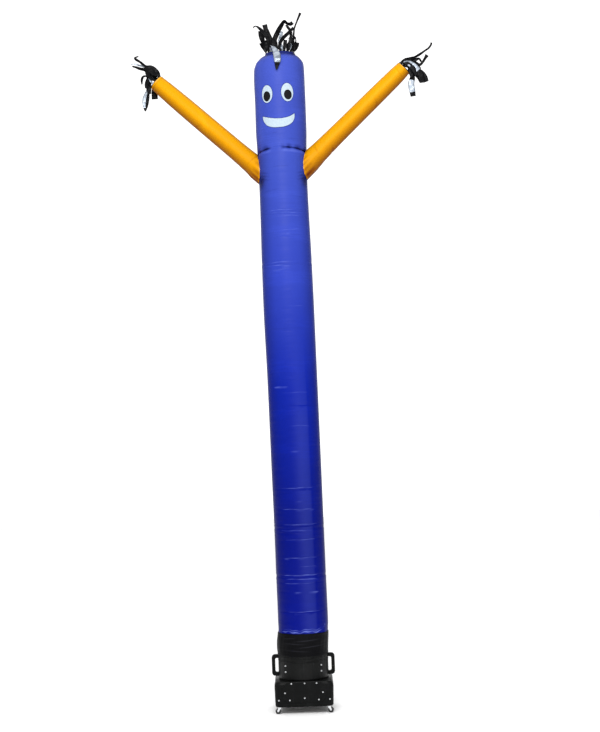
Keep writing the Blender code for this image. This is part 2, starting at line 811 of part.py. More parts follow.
bunch(
    "hair_streamers",
    shell(
        [crownBand["low"], crownBand["high"]],
        bodySides,
        lambda z, a: crownPoint(z, a),
        lambda z, a: crownPoint(z, a, crownBand["wall"]),
    ),
    crownRoot,
    hairStrips,
)


def handBunch(name, table, strips):
    """The strips at an arm's open end, on a backing band just inside its hem."""
    start, end = Vector(table[0][:3]), Vector(table[-1][:3])
    direction = (Vector(table[-1][:3]) - Vector(table[-2][:3])).normalized()
    overall = (end - start).normalized()
    across = overall.cross(Vector((0.0, 0.0, 1.0))).normalized()
    upright = across.cross(overall).normalized()
    radius = table[-1][3] - clothThick - handBand["gap"]

    def place(out, angle, inwards=0.0):
        spoke = math.cos(angle) * across + math.sin(angle) * upright
        return end + direction * out + spoke * (radius - inwards)

    def root(angle):
        middle = place(0.0, angle, handBand["wall"] / 2)
        wide = -math.sin(angle) * across + math.cos(angle) * upright
        return middle, direction, wide, handBand["rise"], handBand["root"]

    band = shell(
        [handBand["inside"], handBand["outside"]],
        armSides,
        lambda out, a: place(out, a),
        lambda out, a: place(out, a, handBand["wall"]),
    )
    return bunch(name, band, root, strips)


handBand = {"gap": 0.0007, "wall": 0.003, "inside": -0.014, "outside": 0.008, "rise": 0.013, "root": 0.016}
handBunch("hand_streamers_left", leftArmTable, leftHandStrips)
handBunch("hand_streamers_right", rightArmTable, rightHandStrips)

# The blower's drum: a plain round wall with two ribs, whose top stands inside the cuff.
def ribRows(grow):
    """The drum's ribs as heights and radii, grown outwards all round."""
    rows = []
    for height, proud in drumRibs:
        rows += [
            (height - ribHalf - ribSlope - grow, drumRadius + grow),
            (height - ribHalf - grow, drumRadius + proud + grow),
            (height + ribHalf + grow, drumRadius + proud + grow),
            (height + ribHalf + ribSlope + grow, drumRadius + grow),
        ]
    return rows


def drumRing(height, radius):
    """A ring of points round the blower's axis."""
    turns = [2 * math.pi * k / drumSides for k in range(drumSides)]
    return [Vector((blowerX + radius * math.sin(a), -radius * math.cos(a), height)) for a in turns]


def drumSpace():
    """The room that the drum takes up, for the pieces that butt against it."""
    rows = [(baseFoot, drumRadius + fitGap)] + ribRows(fitGap) + [(drumTop, drumRadius + fitGap)]
    return solidBar([drumRing(height, radius) for height, radius in rows])


drumRows = [(drumFoot, drumRadius)] + ribRows(0.0) + [(drumTop, drumRadius)]
drumBore = [(drumFoot, drumRadius - drumWall), (drumTop, drumRadius - drumWall)]


def drumPoint(row, angle):
    """A point on the drum at a row of height and radius."""
    height, radius = row
    return Vector((blowerX + radius * math.sin(angle), -radius * math.cos(angle), height))


finish(
    "blower_drum",
    shell(drumRows, drumSides, drumPoint, drumPoint, innerRows=drumBore),
    blackPlastic,
)


# The base housing: a box with rounded corners, an air inlet through it and four stem sockets.
def squareRing(half, corner, height, steps=3):
    ring = []
    for quarter in range(4):
        for step in range(steps + 1):
            turn = math.pi / 2 * (quarter + step / steps)
            centre = half - corner
            signX = (1, -1, -1, 1)[quarter]
            signY = (1, 1, -1, -1)[quarter]
            ring.append(
                Vector(
                    (
                        blowerX + signX * centre + corner * math.cos(turn),
                        signY * centre + corner * math.sin(turn),
                        height,
                    )
                )
            )
    return ring


base = finish(
    "blower_base",
    solidBar([squareRing(baseHalf - inset, baseCorner, height) for height, inset in baseTable]),
    blackPlastic,
    smooth=False,
)
inlet = cylinder((blowerX, 0.0, (baseFoot + baseTop) / 2), inletRadius, inletCut, sides=drumSides)
combine(base, finish("inlet", inlet, blackPlastic), "DIFFERENCE")

casterPlaces = {
    "front_left": (blowerX - casterAt, -casterAt),
    "front_right": (blowerX + casterAt, -casterAt),
    "back_left": (blowerX - casterAt, casterAt),
    "back_right": (blowerX + casterAt, casterAt),
}
for place in casterPlaces.values():
    middle = (*place, stemTop + fitGap - socketCut / 2)
    socket = cylinder(middle, stemRadius + fitGap, socketCut, sides=stemSides)
    combine(base, finish("socket", socket, blackPlastic), "DIFFERENCE")


# The handles: a flat bar bent to a D, with a slot for the fingers.
def corner(centre, radius, first, sweep, steps):
    """Points round a corner, from its first angle over its sweep in degrees."""
    turns = [math.radians(first + sweep * step / steps) for step in range(steps + 1)]
    return [(centre[0] + radius * math.cos(turn), centre[1] + radius * math.sin(turn)) for turn in turns]


def handle(name, side):
    """A D-shaped bar that stands off the drum's wall on one side."""
    shape = bmesh.new()
    start = drumRadius - handleSunk
    radius = handleOuterCorner
    outline = [(start, handleLow)]
    outline += corner((handleReach - radius, handleLow + radius), radius, -90.0, 90.0, 4)
    outline += corner((handleReach - radius, handleHigh - radius), radius, 0.0, 90.0, 4)
    outline.append((start, handleHigh))
    radius = handleInnerCorner
    slotOut = handleReach - handleBar
    slotLow = handleLow + handleEnd
    slotHigh = handleHigh - handleEnd
    slot = [(start, slotHigh)]
    slot += corner((slotOut - radius, slotHigh - radius), radius, 90.0, -90.0, 3)
    slot += corner((slotOut - radius, slotLow + radius), radius, 0.0, -90.0, 3)
    slot.append((start, slotLow))
    points = outline + slot
    half = handleDeep / 2
    front = [shape.verts.new((blowerX + side * x, -half, z)) for x, z in points]
    shape.faces.new(front)
    grown = bmesh.ops.extrude_face_region(shape, geom=list(shape.faces))
    moved = [item for item in grown["geom"] if isinstance(item, bmesh.types.BMVert)]
    bmesh.ops.translate(shape, vec=(0.0, handleDeep, 0.0), verts=moved)
    bmesh.ops.triangulate(shape, faces=shape.faces)
    made = finish(name, shape, blackPlastic, smooth=False)
    combine(made, finish("drum space", drumSpace(), blackPlastic), "DIFFERENCE")
    return made


handle("handle_left", -1)
handle("handle_right", 1)

# The front cover and every bolt.
def faceDepth(height):
    """How far forward the base's front face is at a height."""
    return along(baseTable, height, 1) - baseHalf


cover = bmesh.new()
coverOutline = (
    (-coverHalf + coverCut, coverLow),
    (coverHalf - coverCut, coverLow),
    (coverHalf, coverLow + coverCut),
    (coverHalf, coverHigh - coverCut),
    (coverHalf - coverCut, coverHigh),
    (-coverHalf + coverCut, coverHigh),
    (-coverHalf, coverHigh - coverCut),
    (-coverHalf, coverLow + coverCut),
)
coverBack = -baseHalf - fitGap
rings = []
for depth in (coverBack, coverBack - coverThick):
    rings.append([(blowerX + x, depth, z) for x, z in coverOutline])
finish("front_cover", solidBar(rings), blackPlastic, smooth=False)


def bolt(name, seat, outwards):
    """A domed bolt head that sits on a face, looking outwards."""
    shape = bmesh.new()
    bmesh.ops.create_cone(
        shape,
        cap_ends=True,
        segments=boltSides,
        radius1=boltRadius,
        radius2=boltRadius * boltTaper,
        depth=boltHeight,
    )
    turn = Vector((0.0, 0.0, 1.0)).rotation_difference(Vector(outwards)).to_matrix()
    bmesh.ops.rotate(shape, verts=shape.verts, matrix=turn)
    middle = Vector(seat) + Vector(outwards) * (boltHeight / 2 + fitGap)
    bmesh.ops.translate(shape, verts=shape.verts, vec=middle)
    return finish(name, shape, boltSteel)


for number, (x, z) in enumerate(coverBolts, start=1):
    bolt("cover_bolt_" + str(number), (blowerX + x, coverBack - coverThick, z), (0, -1, 0))
for number, (x, z) in enumerate(cornerBolts, start=1):
    bolt("corner_bolt_" + str(number), (blowerX + x, faceDepth(z), z), (0, -1, 0))
number = 0
for side in (-1, 1):
    for height in drumBoltHeights:
        number += 1
        turn = math.radians(side * drumBoltAngle)
        outwards = (math.sin(turn), -math.cos(turn), 0.0)
        flat = drumRadius * math.cos(math.pi / drumSides)
        seat = (blowerX + flat * outwards[0], flat * outwards[1], height)
        bolt("drum_bolt_" + str(number), seat, outwards)


# The casters: a fork that swivels on its stem, and a wheel on the fork's axle.
def caster(place, at, degrees):
    """A caster's fork and wheel, whose wheel trails behind the stem."""
    x, y = at
    axleHeight = wheelRadius
    cheekIn = wheelHalf + cheekGap
    cheekOut = cheekIn + cheekThick
    cheekTop = forkTop - crownThick * 0.6
    fork = finish(
        "caster_fork_" + place,
        cylinder((0, 0, forkTop - crownThick / 2), crownRadius, crownThick, sides=16),
        casterChrome,
    )
    stemFoot = forkTop - crownThick / 2
    pieces = [cylinder((0, 0, (stemFoot + stemTop) / 2), stemRadius, stemTop - stemFoot, sides=stemSides)]
    for side in (-1, 1):
        low, high = sorted((side * cheekIn, side * cheekOut))
        cheek = solidBar(
            [
                [
                    (-cheekRoot, depth, cheekTop),
                    (cheekRoot, depth, cheekTop),
                    (trail + 0.008, depth, axleHeight + 0.004),
                    (trail + 0.006, depth, axleHeight - 0.006),
                    (trail - 0.006, depth, axleHeight - 0.006),
                    (trail - 0.010, depth, axleHeight + 0.004),
                ]
                for depth in (low, high)
            ]
        )
        pieces.append(cheek)
    axleLength = 2 * (cheekOut + axleProud)
    pieces.append(cylinder((trail, 0, axleHeight), axleRadius, axleLength, axis="Y", sides=stemSides))
    for piece in pieces:
        combine(fork, finish("fork piece", piece, casterChrome), "UNION")
    wheel = finish(
        "caster_wheel_" + place,
        cylinder((0, 0, 0), wheelRadius, 2 * wheelHalf, axis="Y", sides=24),
        wheelRubber,
    )
    bore = cylinder((0, 0, 0), boreRadius, boreCut, axis="Y", sides=stemSides)
    combine(wheel, finish("bore", bore, wheelRubber), "DIFFERENCE")
    heading = Matrix.Rotation(math.radians(degrees), 4, "Z")
    fork.matrix_world = Matrix.Translation((x, y, 0)) @ heading
    wheel.matrix_world = Matrix.Translation((x, y, 0)) @ heading @ Matrix.Translation((trail, 0, axleHeight))
    for made in (fork, wheel):
        for face in made.data.polygons:
            face.use_smooth = False


for place, at in casterPlaces.items():
    caster(place, at, casterTurn[place])

# The motor on its struts, and the fan above it.
motor = finish(
    "fan_motor",
    cylinder((blowerX, 0, (motorLow + motorHigh) / 2), motorRadius, motorHigh - motorLow, sides=32),
    blackPlastic,
)
strutEnd = drumRadius - drumWall - strutGap
strutLow = motorLow + strutRise
for turn in (0, 60, 120):
    strut = box((-strutEnd, -strutHalf, strutLow), (strutEnd, strutHalf, strutLow + strutTall))
    bmesh.ops.rotate(strut, verts=strut.verts, matrix=Matrix.Rotation(math.radians(turn), 3, "Z"))
    bmesh.ops.translate(strut, verts=strut.verts, vec=(blowerX, 0, 0))
    combine(motor, finish("strut", strut, blackPlastic), "UNION")
fan = finish(
    "fan_rotor",
    cylinder((blowerX, 0, (hubLow + hubHigh) / 2), hubRadius, hubHigh - hubLow, sides=24),
    blackPlastic,
)
shaftLength = hubLow - motorHigh + shaftSunk
shaft = cylinder((blowerX, 0, motorHigh + fitGap + shaftLength / 2), shaftRadius, shaftLength, sides=12)
combine(fan, finish("shaft", shaft, blackPlastic), "UNION")
for number in range(bladeCount):
    bladeFoot = hubRadius - bladeSunk
    blade = box((bladeFoot, -bladeThick / 2, -bladeChord / 2), (bladeTip, bladeThick / 2, bladeChord / 2))
    bmesh.ops.rotate(blade, verts=blade.verts, matrix=Matrix.Rotation(math.radians(90 - bladePitch), 3, "X"))
    bmesh.ops.rotate(
        blade, verts=blade.verts, matrix=Matrix.Rotation(2 * math.pi * number / bladeCount, 3, "Z")
    )
    bmesh.ops.translate(blade, verts=blade.verts, vec=(blowerX, 0, (hubLow + hubHigh) / 2))
    combine(fan, finish("blade", blade, blackPlastic), "UNION")
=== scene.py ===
import functools
import math
import random

import bpy
import numpy as np
from mathutils import Matrix, Vector


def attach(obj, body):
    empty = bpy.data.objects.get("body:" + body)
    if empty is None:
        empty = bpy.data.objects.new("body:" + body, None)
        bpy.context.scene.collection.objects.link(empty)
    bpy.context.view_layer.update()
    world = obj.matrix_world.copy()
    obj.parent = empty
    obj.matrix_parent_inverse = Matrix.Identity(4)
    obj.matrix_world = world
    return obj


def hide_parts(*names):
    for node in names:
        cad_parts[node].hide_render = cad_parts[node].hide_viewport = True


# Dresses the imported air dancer: real cloth for the sleeve, arms, cuff, face and streamers,
# and real finishes for the blower. Metres, +Z up, the face looks along -Y.
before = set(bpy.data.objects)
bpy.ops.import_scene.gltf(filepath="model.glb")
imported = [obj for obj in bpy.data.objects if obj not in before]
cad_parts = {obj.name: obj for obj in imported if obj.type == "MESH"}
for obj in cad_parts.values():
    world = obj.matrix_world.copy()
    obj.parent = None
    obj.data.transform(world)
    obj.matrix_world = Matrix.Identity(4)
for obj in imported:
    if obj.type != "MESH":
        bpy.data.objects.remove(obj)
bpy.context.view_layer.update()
mainBody = "blower_and_sleeve"
print("loaded", len(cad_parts), "solids")

# Camera and light.
cameraSetup = {
    "place": (0.0625, -13.927, 2.521),  # metres, the eye in front of the dancer
    "pitch": 2.403,   # degrees up from level
    "roll": 1.9,      # degrees, leans the picture to the left
    "lens": 75.0,     # mm
    "sensor": 36.0,   # mm, its height
}
lightSetup = {
    "sky": 1.30,        # brightness of the room in front, behind and above
    "sideSky": 0.40,    # brightness at the two sides, where dark curtains hang
    "skyColour": "FFFFFF",
    "keyPower": 430.0,  # watts of the big soft front light
    "keyPlace": (-0.4, -6.8, 7.2),
    "keyAim": (0.0, 0.0, 4.6),
    "keySize": 3.2,
    "fillPower": 60.0,
    "fillPlace": (2.5, -7.0, 1.6),
    "fillAim": (0.0, 0.0, 1.2),
    "fillSize": 3.0,
}


def colour(code):  # an sRGB hex value as the linear colour that a socket takes
    parts = [int(code[k:k + 2], 16) / 255 for k in (0, 2, 4)]
    return tuple(c / 12.92 if c <= 0.04045 else ((c + 0.055) / 1.055) ** 2.4 for c in parts) + (1.0,)


def feed(made, inputs):  # sets or links a node's inputs; a whole node stands for its first output
    for name, value in inputs.items():
        if isinstance(value, bpy.types.Node):
            value = value.outputs[0]
        if isinstance(value, bpy.types.NodeSocket):
            made.id_data.links.new(value, made.inputs[name])
        else:
            made.inputs[name].default_value = value


def addNode(tree, kind, inputs=None, **settings):  # one node with its settings and what feeds it
    made = tree.nodes.new("ShaderNode" + kind)
    for name, value in settings.items():
        setattr(made, name, value)
    feed(made, inputs or {})
    return made


cameraData = bpy.data.cameras.new("frontCamera")
cameraData.sensor_fit = "VERTICAL"
cameraData.sensor_height = cameraSetup["sensor"]
cameraData.lens = cameraSetup["lens"]
camera = bpy.data.objects.new("frontCamera", cameraData)
bpy.context.collection.objects.link(camera)
camera.matrix_world = (
    Matrix.Translation(cameraSetup["place"])
    @ Matrix.Rotation(math.radians(90.0 + cameraSetup["pitch"]), 4, "X")
    @ Matrix.Rotation(math.radians(-cameraSetup["roll"]), 4, "Z")
)
bpy.context.scene.camera = camera
bpy.context.scene.view_settings.view_transform = "Standard"

world = bpy.data.worlds.new("studio")
world.use_nodes = True
bpy.context.scene.world = world
background = world.node_tree.nodes["Background"]
feed(background, {"Color": colour(lightSetup["skyColour"])})
roomSpot = addNode(world.node_tree, "TexCoord").outputs["Generated"]
roomSide = addNode(world.node_tree, "SeparateXYZ", {0: roomSpot}).outputs["X"]
roomSide = addNode(world.node_tree, "Math", {0: roomSide}, operation="ABSOLUTE")
roomEnds = {"From Min": 0.35, "From Max": 0.80, "To Min": lightSetup["sky"], "To Max": lightSetup["sideSky"]}
roomEnds["Value"] = roomSide
feed(background, {"Strength": addNode(world.node_tree, "MapRange", roomEnds, interpolation_type="SMOOTHSTEP")})


def softLight(name, place, target, power, size):  # a square soft box that looks at a point
    data = bpy.data.lights.new(name, "AREA")
    data.energy = power
    data.size = size
    made = bpy.data.objects.new(name, data)
    bpy.context.collection.objects.link(made)
    made.location = place
    made.rotation_euler = (Vector(target) - Vector(place)).to_track_quat("-Z", "Y").to_euler()


for part in ("key", "fill"):
    place, aim = lightSetup[part + "Place"], lightSetup[part + "Aim"]
    softLight(part + "Light", place, aim, lightSetup[part + "Power"], lightSetup[part + "Size"])
print("camera and lights set")


# Materials.
def startMaterial(name, **sockets):  # a material with its shader's plain values, and the helper bound to its tree
    made = bpy.data.materials.new(name)
    made.use_nodes = True
    shader = made.node_tree.nodes["Principled BSDF"]
    feed(shader, {socket.replace("_", " "): value for socket, value in sockets.items()})
    return made, functools.partial(addNode, made.node_tree), shader


def ramp(node, factor, stops):  # a colour ramp through places and hex colours
    made = node("ValToRGB", {"Fac": factor})
    band = made.color_ramp
    while len(band.elements) < len(stops):
        band.elements.new(0.5)
    for element, (place, code) in zip(band.elements, stops):
        element.position = place
        element.color = colour(code)
    return made


def clothMaterial(name, stops, look):
    # Woven polyamide taffeta: a fine even weave with a stronger thread every few millimetres,
    # a low gloss, and hairline creases that run across the pull of the air.
    made, node, shader = startMaterial(name, Roughness=look["roughness"], IOR=1.53, Specular_IOR_Level=look["gloss"])
    uv = node("UVMap", uv_map="clothMap")  # metres round and along the cloth
    spot = node("TexCoord").outputs["Object"]
    # the colour follows the height from look low to look high; on the blue sleeve this is a painted gradient of light,
    # lighter towards the crown
    height = node("SeparateXYZ", {"Vector": spot}).outputs["Z"]
    share = node("MapRange", {"Value": height, "From Min": look["low"], "From Max": look["high"]})
    # broad unevenness of the dye and of light through the cloth, about 0.3 m wide
    broad = node("TexNoise", {"Vector": spot, "Scale": 3.2, "Detail": 2.0})
    nudge = node("MapRange", {"Value": broad, "To Min": -look["uneven"], "To Max": look["uneven"]})
    place = node("Math", {0: share, 1: nudge}, operation="ADD")
    base = ramp(node, place, stops)
    # hairline creases about 8 mm tall and 0.2 m long
    narrow = node("Mapping", {"Vector": uv, "Scale": (4.5, 70.0, 1.0)})
    fine = node("TexNoise", {"Vector": narrow, "Scale": 1.0, "Detail": 3.0, "Distortion": 0.4})
    # softer ones about 45 mm tall
    tall = node("Mapping", {"Vector": uv, "Scale": (1.6, 20.0, 1.0)})
    wide = node("TexNoise", {"Vector": tall, "Scale": 1.0, "Detail": 2.0, "Distortion": 0.3})
    # creases gather in patches 0.25 m tall
    patches = node("Mapping", {"Vector": uv, "Scale": (1.2, 4.0, 1.0)})
    where = node("TexNoise", {"Vector": patches, "Scale": 1.0, "Detail": 1.0})
    mask = node("MapRange", {"Value": where, "From Min": 0.42, "From Max": 0.62, "To Min": 0.15})
    masked = node("Math", {0: fine, 1: mask}, operation="MULTIPLY")
    # a thicker thread each 6 mm both ways; the 0.3 mm threads between are too fine to show
    grid = node("Mapping", {"Vector": uv, "Scale": (167.0, 167.0, 1.0)})
    split = node("SeparateXYZ", {"Vector": grid})
    warp = node("Math", {0: split.outputs["X"], 1: 1.0}, operation="PINGPONG")
    weft = node("Math", {0: split.outputs["Y"], 1: 1.0}, operation="PINGPONG")
    thread = node("Math", {0: warp, 1: weft}, operation="MINIMUM")
    line = node("MapRange", {"Value": thread, "From Max": 0.16, "To Min": 1.0, "To Max": 0.0})
    bumps = node("Bump", {"Height": line, "Strength": 0.10, "Distance": 0.0004})
    for crease, deep in ((masked, 0.010), (wide, 0.022)):
        shape = {"Height": crease, "Normal": bumps, "Strength": look["crease"], "Distance": deep}
        bumps = node("Bump", shape)
    # crease crests catch the light a little
    crestEnds = {"From Min": 0.30, "From Max": 0.62, "To Min": 1.0, "To Max": look["crest"]}
    crest = node("MapRange", {"Value": masked, **crestEnds})
    lit = node("HueSaturation", {"Value": crest, "Color": base})
    # painted light and shade along the folds: painted highlights on stretched crests, painted shade in deep creases,
    # at seams and on sides turned from the light
    painted = node("Attribute", attribute_name="paintedShading").outputs["Fac"]
    shining = node("MapRange", {"Value": painted})
    shaded = node("MapRange", {"Value": painted, "From Max": -1.0})
    bright = node("Mix", {0: shining, 6: lit, 7: colour(look["shine"])}, data_type="RGBA").outputs[2]
    done = node("Mix", {0: shaded, 6: bright, 7: colour(look["shade"])}, data_type="RGBA").outputs[2]
    feed(shader, {"Base Color": done, "Normal": bumps})
    return made


blueLook = {
    "low": 0.6, "high": 6.05,   # metres over which the colour changes
    "uneven": 0.03, "roughness": 0.38, "gloss": 0.05, "crease": 0.22,
    "crest": 1.12, "shine": "6E7ED0", "shade": "030845",
}
# the sleeve's blue from the cuff to the crown: darker towards the bottom, lighter towards the crown, a painted
# gradient standing in for the stronger light on the upper sleeve
blueStops = (
    (0.0, "020F74"), (0.20, "020E6C"), (0.42, "0A1D88"), (0.62, "29399A"),
    (0.81, "33439C"), (0.90, "35449C"), (1.0, "3C4CA6"),
)
orangeLook = {
    "low": 4.7, "high": 5.9,
    "uneven": 0.15, "roughness": 0.42, "gloss": 0.05, "crease": 0.14,
    "crest": 1.12, "shine": "F0D8A0", "shade": "602000",
}
orangeStops = ((0.0, "C08000"), (0.5, "CA8A00"), (1.0, "CE9000"))
blackLook = {
    "low": 0.48, "high": 0.72,
    "uneven": 0.20, "roughness": 0.50, "gloss": 0.05, "crease": 0.30,
    "crest": 1.30, "shine": "26262C", "shade": "020203",
}
blackStops = ((0.0, "060608"), (1.0, "0A0A0D"))
blueCloth = clothMaterial("blue woven nylon", blueStops, blueLook)
orangeCloth = clothMaterial("orange woven nylon", orangeStops, orangeLook)
blackCloth = clothMaterial("black woven nylon", blackStops, blackLook)


def filmMaterial(name, code, creaseShadeCode, metallic, roughness):
    # Thin cut film: smooth and shiny, with soft crumples across each strip.
    made, node, shader = startMaterial(name, Roughness=roughness, Metallic=metallic, Specular_IOR_Level=0.07)
    uv = node("UVMap", uv_map="clothMap")
    drawn = node("Mapping", {"Vector": uv, "Scale": (18.0, 34.0, 1.0)})
    crumple = node("TexNoise", {"Vector": drawn, "Scale": 1.0, "Detail": 3.0, "Distortion": 0.8})
    # painted shade: the film is drawn darker in the crumples' hollows
    tone = ramp(node, crumple, ((0.30, creaseShadeCode), (0.62, code)))
    bumps = node("Bump", {"Height": crumple, "Strength": 0.6, "Distance": 0.012})
    feed(shader, {"Base Color": tone, "Normal": bumps})
    return made


blackFilm = filmMaterial("black film", "08080B", "030304", 0.0, 0.38)
silverFilm = filmMaterial("silver film", "A4ACB6", "666E78", 0.50, 0.36)


def patchMaterial(name, code, shadeCode, roughness):
    # Appliqué twill: matt woven cloth with diagonal ribs each 1.6 mm.
    made, node, shader = startMaterial(name, Roughness=roughness, IOR=1.53, Specular_IOR_Level=0.15)
    uv = node("UVMap", uv_map="clothMap")
    turned = node("Mapping", {"Vector": uv, "Rotation": (0.0, 0.0, math.radians(45.0))})
    ribs = node("TexWave", {"Vector": turned, "Scale": 98.0}, wave_type="BANDS").outputs["Fac"]
    mottle = node("TexNoise", {"Vector": uv, "Scale": 60.0, "Detail": 3.0})
    tone = ramp(node, mottle, ((0.25, shadeCode), (0.70, code)))
    bumps = node("Bump", {"Height": ribs, "Strength": 0.25, "Distance": 0.0004})
    feed(shader, {"Base Color": tone, "Normal": bumps})
    return made


whitePatch = patchMaterial("white twill", "A9B8C2", "9CACB8", 0.75)
blackPatch = patchMaterial("black twill", "08080A", "040405", 0.70)
blueThread = patchMaterial("dark blue thread", "1A2A7C", "121F66", 0.60)


def plasticMaterial(name, gloss, softEdge):
    # Moulded polyethylene: near black, a fine leathery grain about 1 mm across, dull,
    # with paler rubbed patches and short scratches.
    made, node, shader = startMaterial(name, IOR=1.51, Specular_IOR_Level=gloss)
    spot = node("TexCoord").outputs["Object"]
    grain = node("TexVoronoi", {"Vector": spot, "Scale": 900.0}, feature="SMOOTH_F1")
    rubbed = node("TexNoise", {"Vector": spot, "Scale": 11.0, "Detail": 4.0})
    drawn = node("Mapping", {"Vector": spot, "Rotation": (0.3, 0.5, 0.2), "Scale": (160.0, 160.0, 9.0)})
    scratch = node("TexNoise", {"Vector": drawn, "Scale": 1.0, "Detail": 2.0})
    scratches = node("MapRange", {"Value": scratch, "From Min": 0.66, "From Max": 0.74})
    base = ramp(node, rubbed, ((0.35, "060707"), (0.55, "090A0A"), (0.75, "101111")))
    worn = node("Mix", {0: scratches, 6: base, 7: colour("1C1E20")}, data_type="RGBA")
    roughEnds = {"From Min": 0.3, "From Max": 0.7, "To Min": 0.34, "To Max": 0.52}
    rough = node("MapRange", {"Value": rubbed, **roughEnds})
    # a mould leaves no sharp edges: light runs round them over softEdge metres
    eased = node("Bevel", {"Radius": softEdge}, samples=8)
    bumps = node("Bump", {"Height": grain, "Normal": eased, "Strength": 0.20, "Distance": 0.0006})
    feed(shader, {"Base Color": worn.outputs[2], "Roughness": rough, "Normal": bumps})
    return made


def metalMaterial(name, code, dullCode, low, high):
    # Plated steel: bright and smooth, with fine speckle and dull spots.
    made, node, shader = startMaterial(name, Metallic=1.0)
    spot = node("TexCoord").outputs["Object"]
    speckle = node("TexNoise", {"Vector": spot, "Scale": 240.0, "Detail": 3.0})
    base = ramp(node, speckle, ((0.35, dullCode), (0.6, code)))
    rough = node("MapRange", {"Value": speckle, "To Min": high, "To Max": low})
    feed(shader, {"Base Color": base, "Roughness": rough})
    return made


def rubberMaterial():
    # Moulded rubber: matt dark grey with dust rubbed into it.
    made, node, shader = startMaterial("black rubber tyre", Roughness=0.72, IOR=1.52)
    spot = node("TexCoord").outputs["Object"]
    dust = node("TexNoise", {"Vector": spot, "Scale": 70.0, "Detail": 4.0})
    base = ramp(node, dust, ((0.4, "101011"), (0.75, "2A2A2A")))
    bumps = node("Bump", {"Height": dust, "Strength": 0.3, "Distance": 0.0008})
    feed(shader, {"Base Color": base, "Normal": bumps})
    return made


mouldedPlastic = plasticMaterial("black moulded plastic", 0.08, 0.006)
drumPlastic = plasticMaterial("black rolled plastic", 0.13, 0.020)
zincSteel = metalMaterial("zinc plated steel", "D8DADC", "9A9C9E", 0.22, 0.42)
chromeSteel = metalMaterial("chrome plated steel", "E6E8EA", "D2D4D6", 0.12, 0.22)
tyreRubber = rubberMaterial()
print("materials made")

# Finishes of the solids that stay.
nodeFinish = (
    ("blower_base", mouldedPlastic),
    ("blower_drum", drumPlastic),
    ("handle_", mouldedPlastic),
    ("front_cover", mouldedPlastic),
    ("fan_", mouldedPlastic),
    ("cover_bolt_", zincSteel),
    ("corner_bolt_", zincSteel),
    ("drum_bolt_", zincSteel),
    ("caster_fork_", chromeSteel),
    ("caster_wheel_", tyreRubber),
)
for name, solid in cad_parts.items():
    for start, finish in nodeFinish:
        if name.startswith(start):
            for place in solid.material_slots:
                place.material = finish


# Cloth surfaces. Every table's rows are joined by one smooth curve.
def smoothTable(table, column):  # a smooth curve through a table's column, with no overshoot
    x = np.array([row[0] for row in table], float)
    y = np.array([row[column] for row in table], float)
    step = np.diff(x)
    slope = np.diff(y) / step
    inner = np.where(
        slope[:-1] * slope[1:] > 0.0,
        2.0 * slope[:-1] * slope[1:] / np.where(slope[:-1] + slope[1:] == 0.0, 1.0, slope[:-1] + slope[1:]),
        0.0,
    )
    grade = np.concatenate(([slope[0]], inner, [slope[-1]]))

    def read(at):
        at = np.clip(np.asarray(at, float), x[0], x[-1])
        k = np.clip(np.searchsorted(x, at, side="right") - 1, 0, len(x) - 2)
        t = (at - x[k]) / step[k]
        return (
            y[k] * (2 * t**3 - 3 * t**2 + 1)
            + grade[k] * step[k] * (t**3 - 2 * t**2 + t)
            + y[k + 1] * (3 * t**2 - 2 * t**3)
            + grade[k + 1] * step[k] * (t**3 - t**2)
        )

    return read


def hump(distance, width):  # a soft fold: 1 at its middle and 0 from its half width on
    share = np.clip(np.abs(distance) / width, 0.0, 1.0)
    return 0.5 + 0.5 * np.cos(np.pi * share)


def fade(value, start, span):  # 0 up to start, then evenly up to 1 over span
    return np.clip((value - start) / span, 0.0, 1.0)


def gathers(phase):  # even gathers round a seam: 1 on each crest and 0 between
    return 0.5 + 0.5 * np.cos(phase)


def wrapped(angle):  # an angle in degrees brought to between -180 and 180
    return (np.asarray(angle) + 180.0) % 360.0 - 180.0


def clothObject(name, points, faces, uvs, materials, slots=None):
    # points: n x 3, faces: rows of corners, uvs: one pair of metres per point
    mesh = bpy.data.meshes.new(name)
    mesh.from_pydata([tuple(p) for p in points], [], [tuple(int(i) for i in f) for f in faces])
    layer = mesh.uv_layers.new(name="clothMap")
    corner = np.empty(len(mesh.loops), dtype=np.int32)
    mesh.loops.foreach_get("vertex_index", corner)
    layer.data.foreach_set("uv", np.asarray(uvs, float)[corner].ravel())
    for item in materials:
        mesh.materials.append(item)
    if slots is not None:
        mesh.polygons.foreach_set("material_index", np.asarray(slots, dtype=np.int32))
    mesh.polygons.foreach_set("use_smooth", np.ones(len(mesh.polygons), dtype=bool))
    mesh.update()
    made = bpy.data.objects.new(name, mesh)
    bpy.context.collection.objects.link(made)
    return made


def selectOnly(piece):
    bpy.ops.object.select_all(action="DESELECT")
    piece.select_set(True)
    bpy.context.view_layer.objects.active = piece


def applyModifier(piece, kind, **settings):  # adds a modifier and applies it at once
    selectOnly(piece)
    made = piece.modifiers.new(kind.lower(), kind)
    for name, value in settings.items():
        setattr(made, name, value)
    bpy.ops.object.modifier_apply(modifier=made.name)


def quads(rows, columns, roundRows=False, roundColumns=False):
    # faces between rows of points, wound to face outwards; a round side joins its last to its first
    faces = []
    for r in range(rows if roundRows else rows - 1):
        low, high = r * columns, (r + 1) % rows * columns
        for k in range(columns if roundColumns else columns - 1):
            after = (k + 1) % columns
            faces.append((low + k, low + after, high + after, high + k))
    return faces


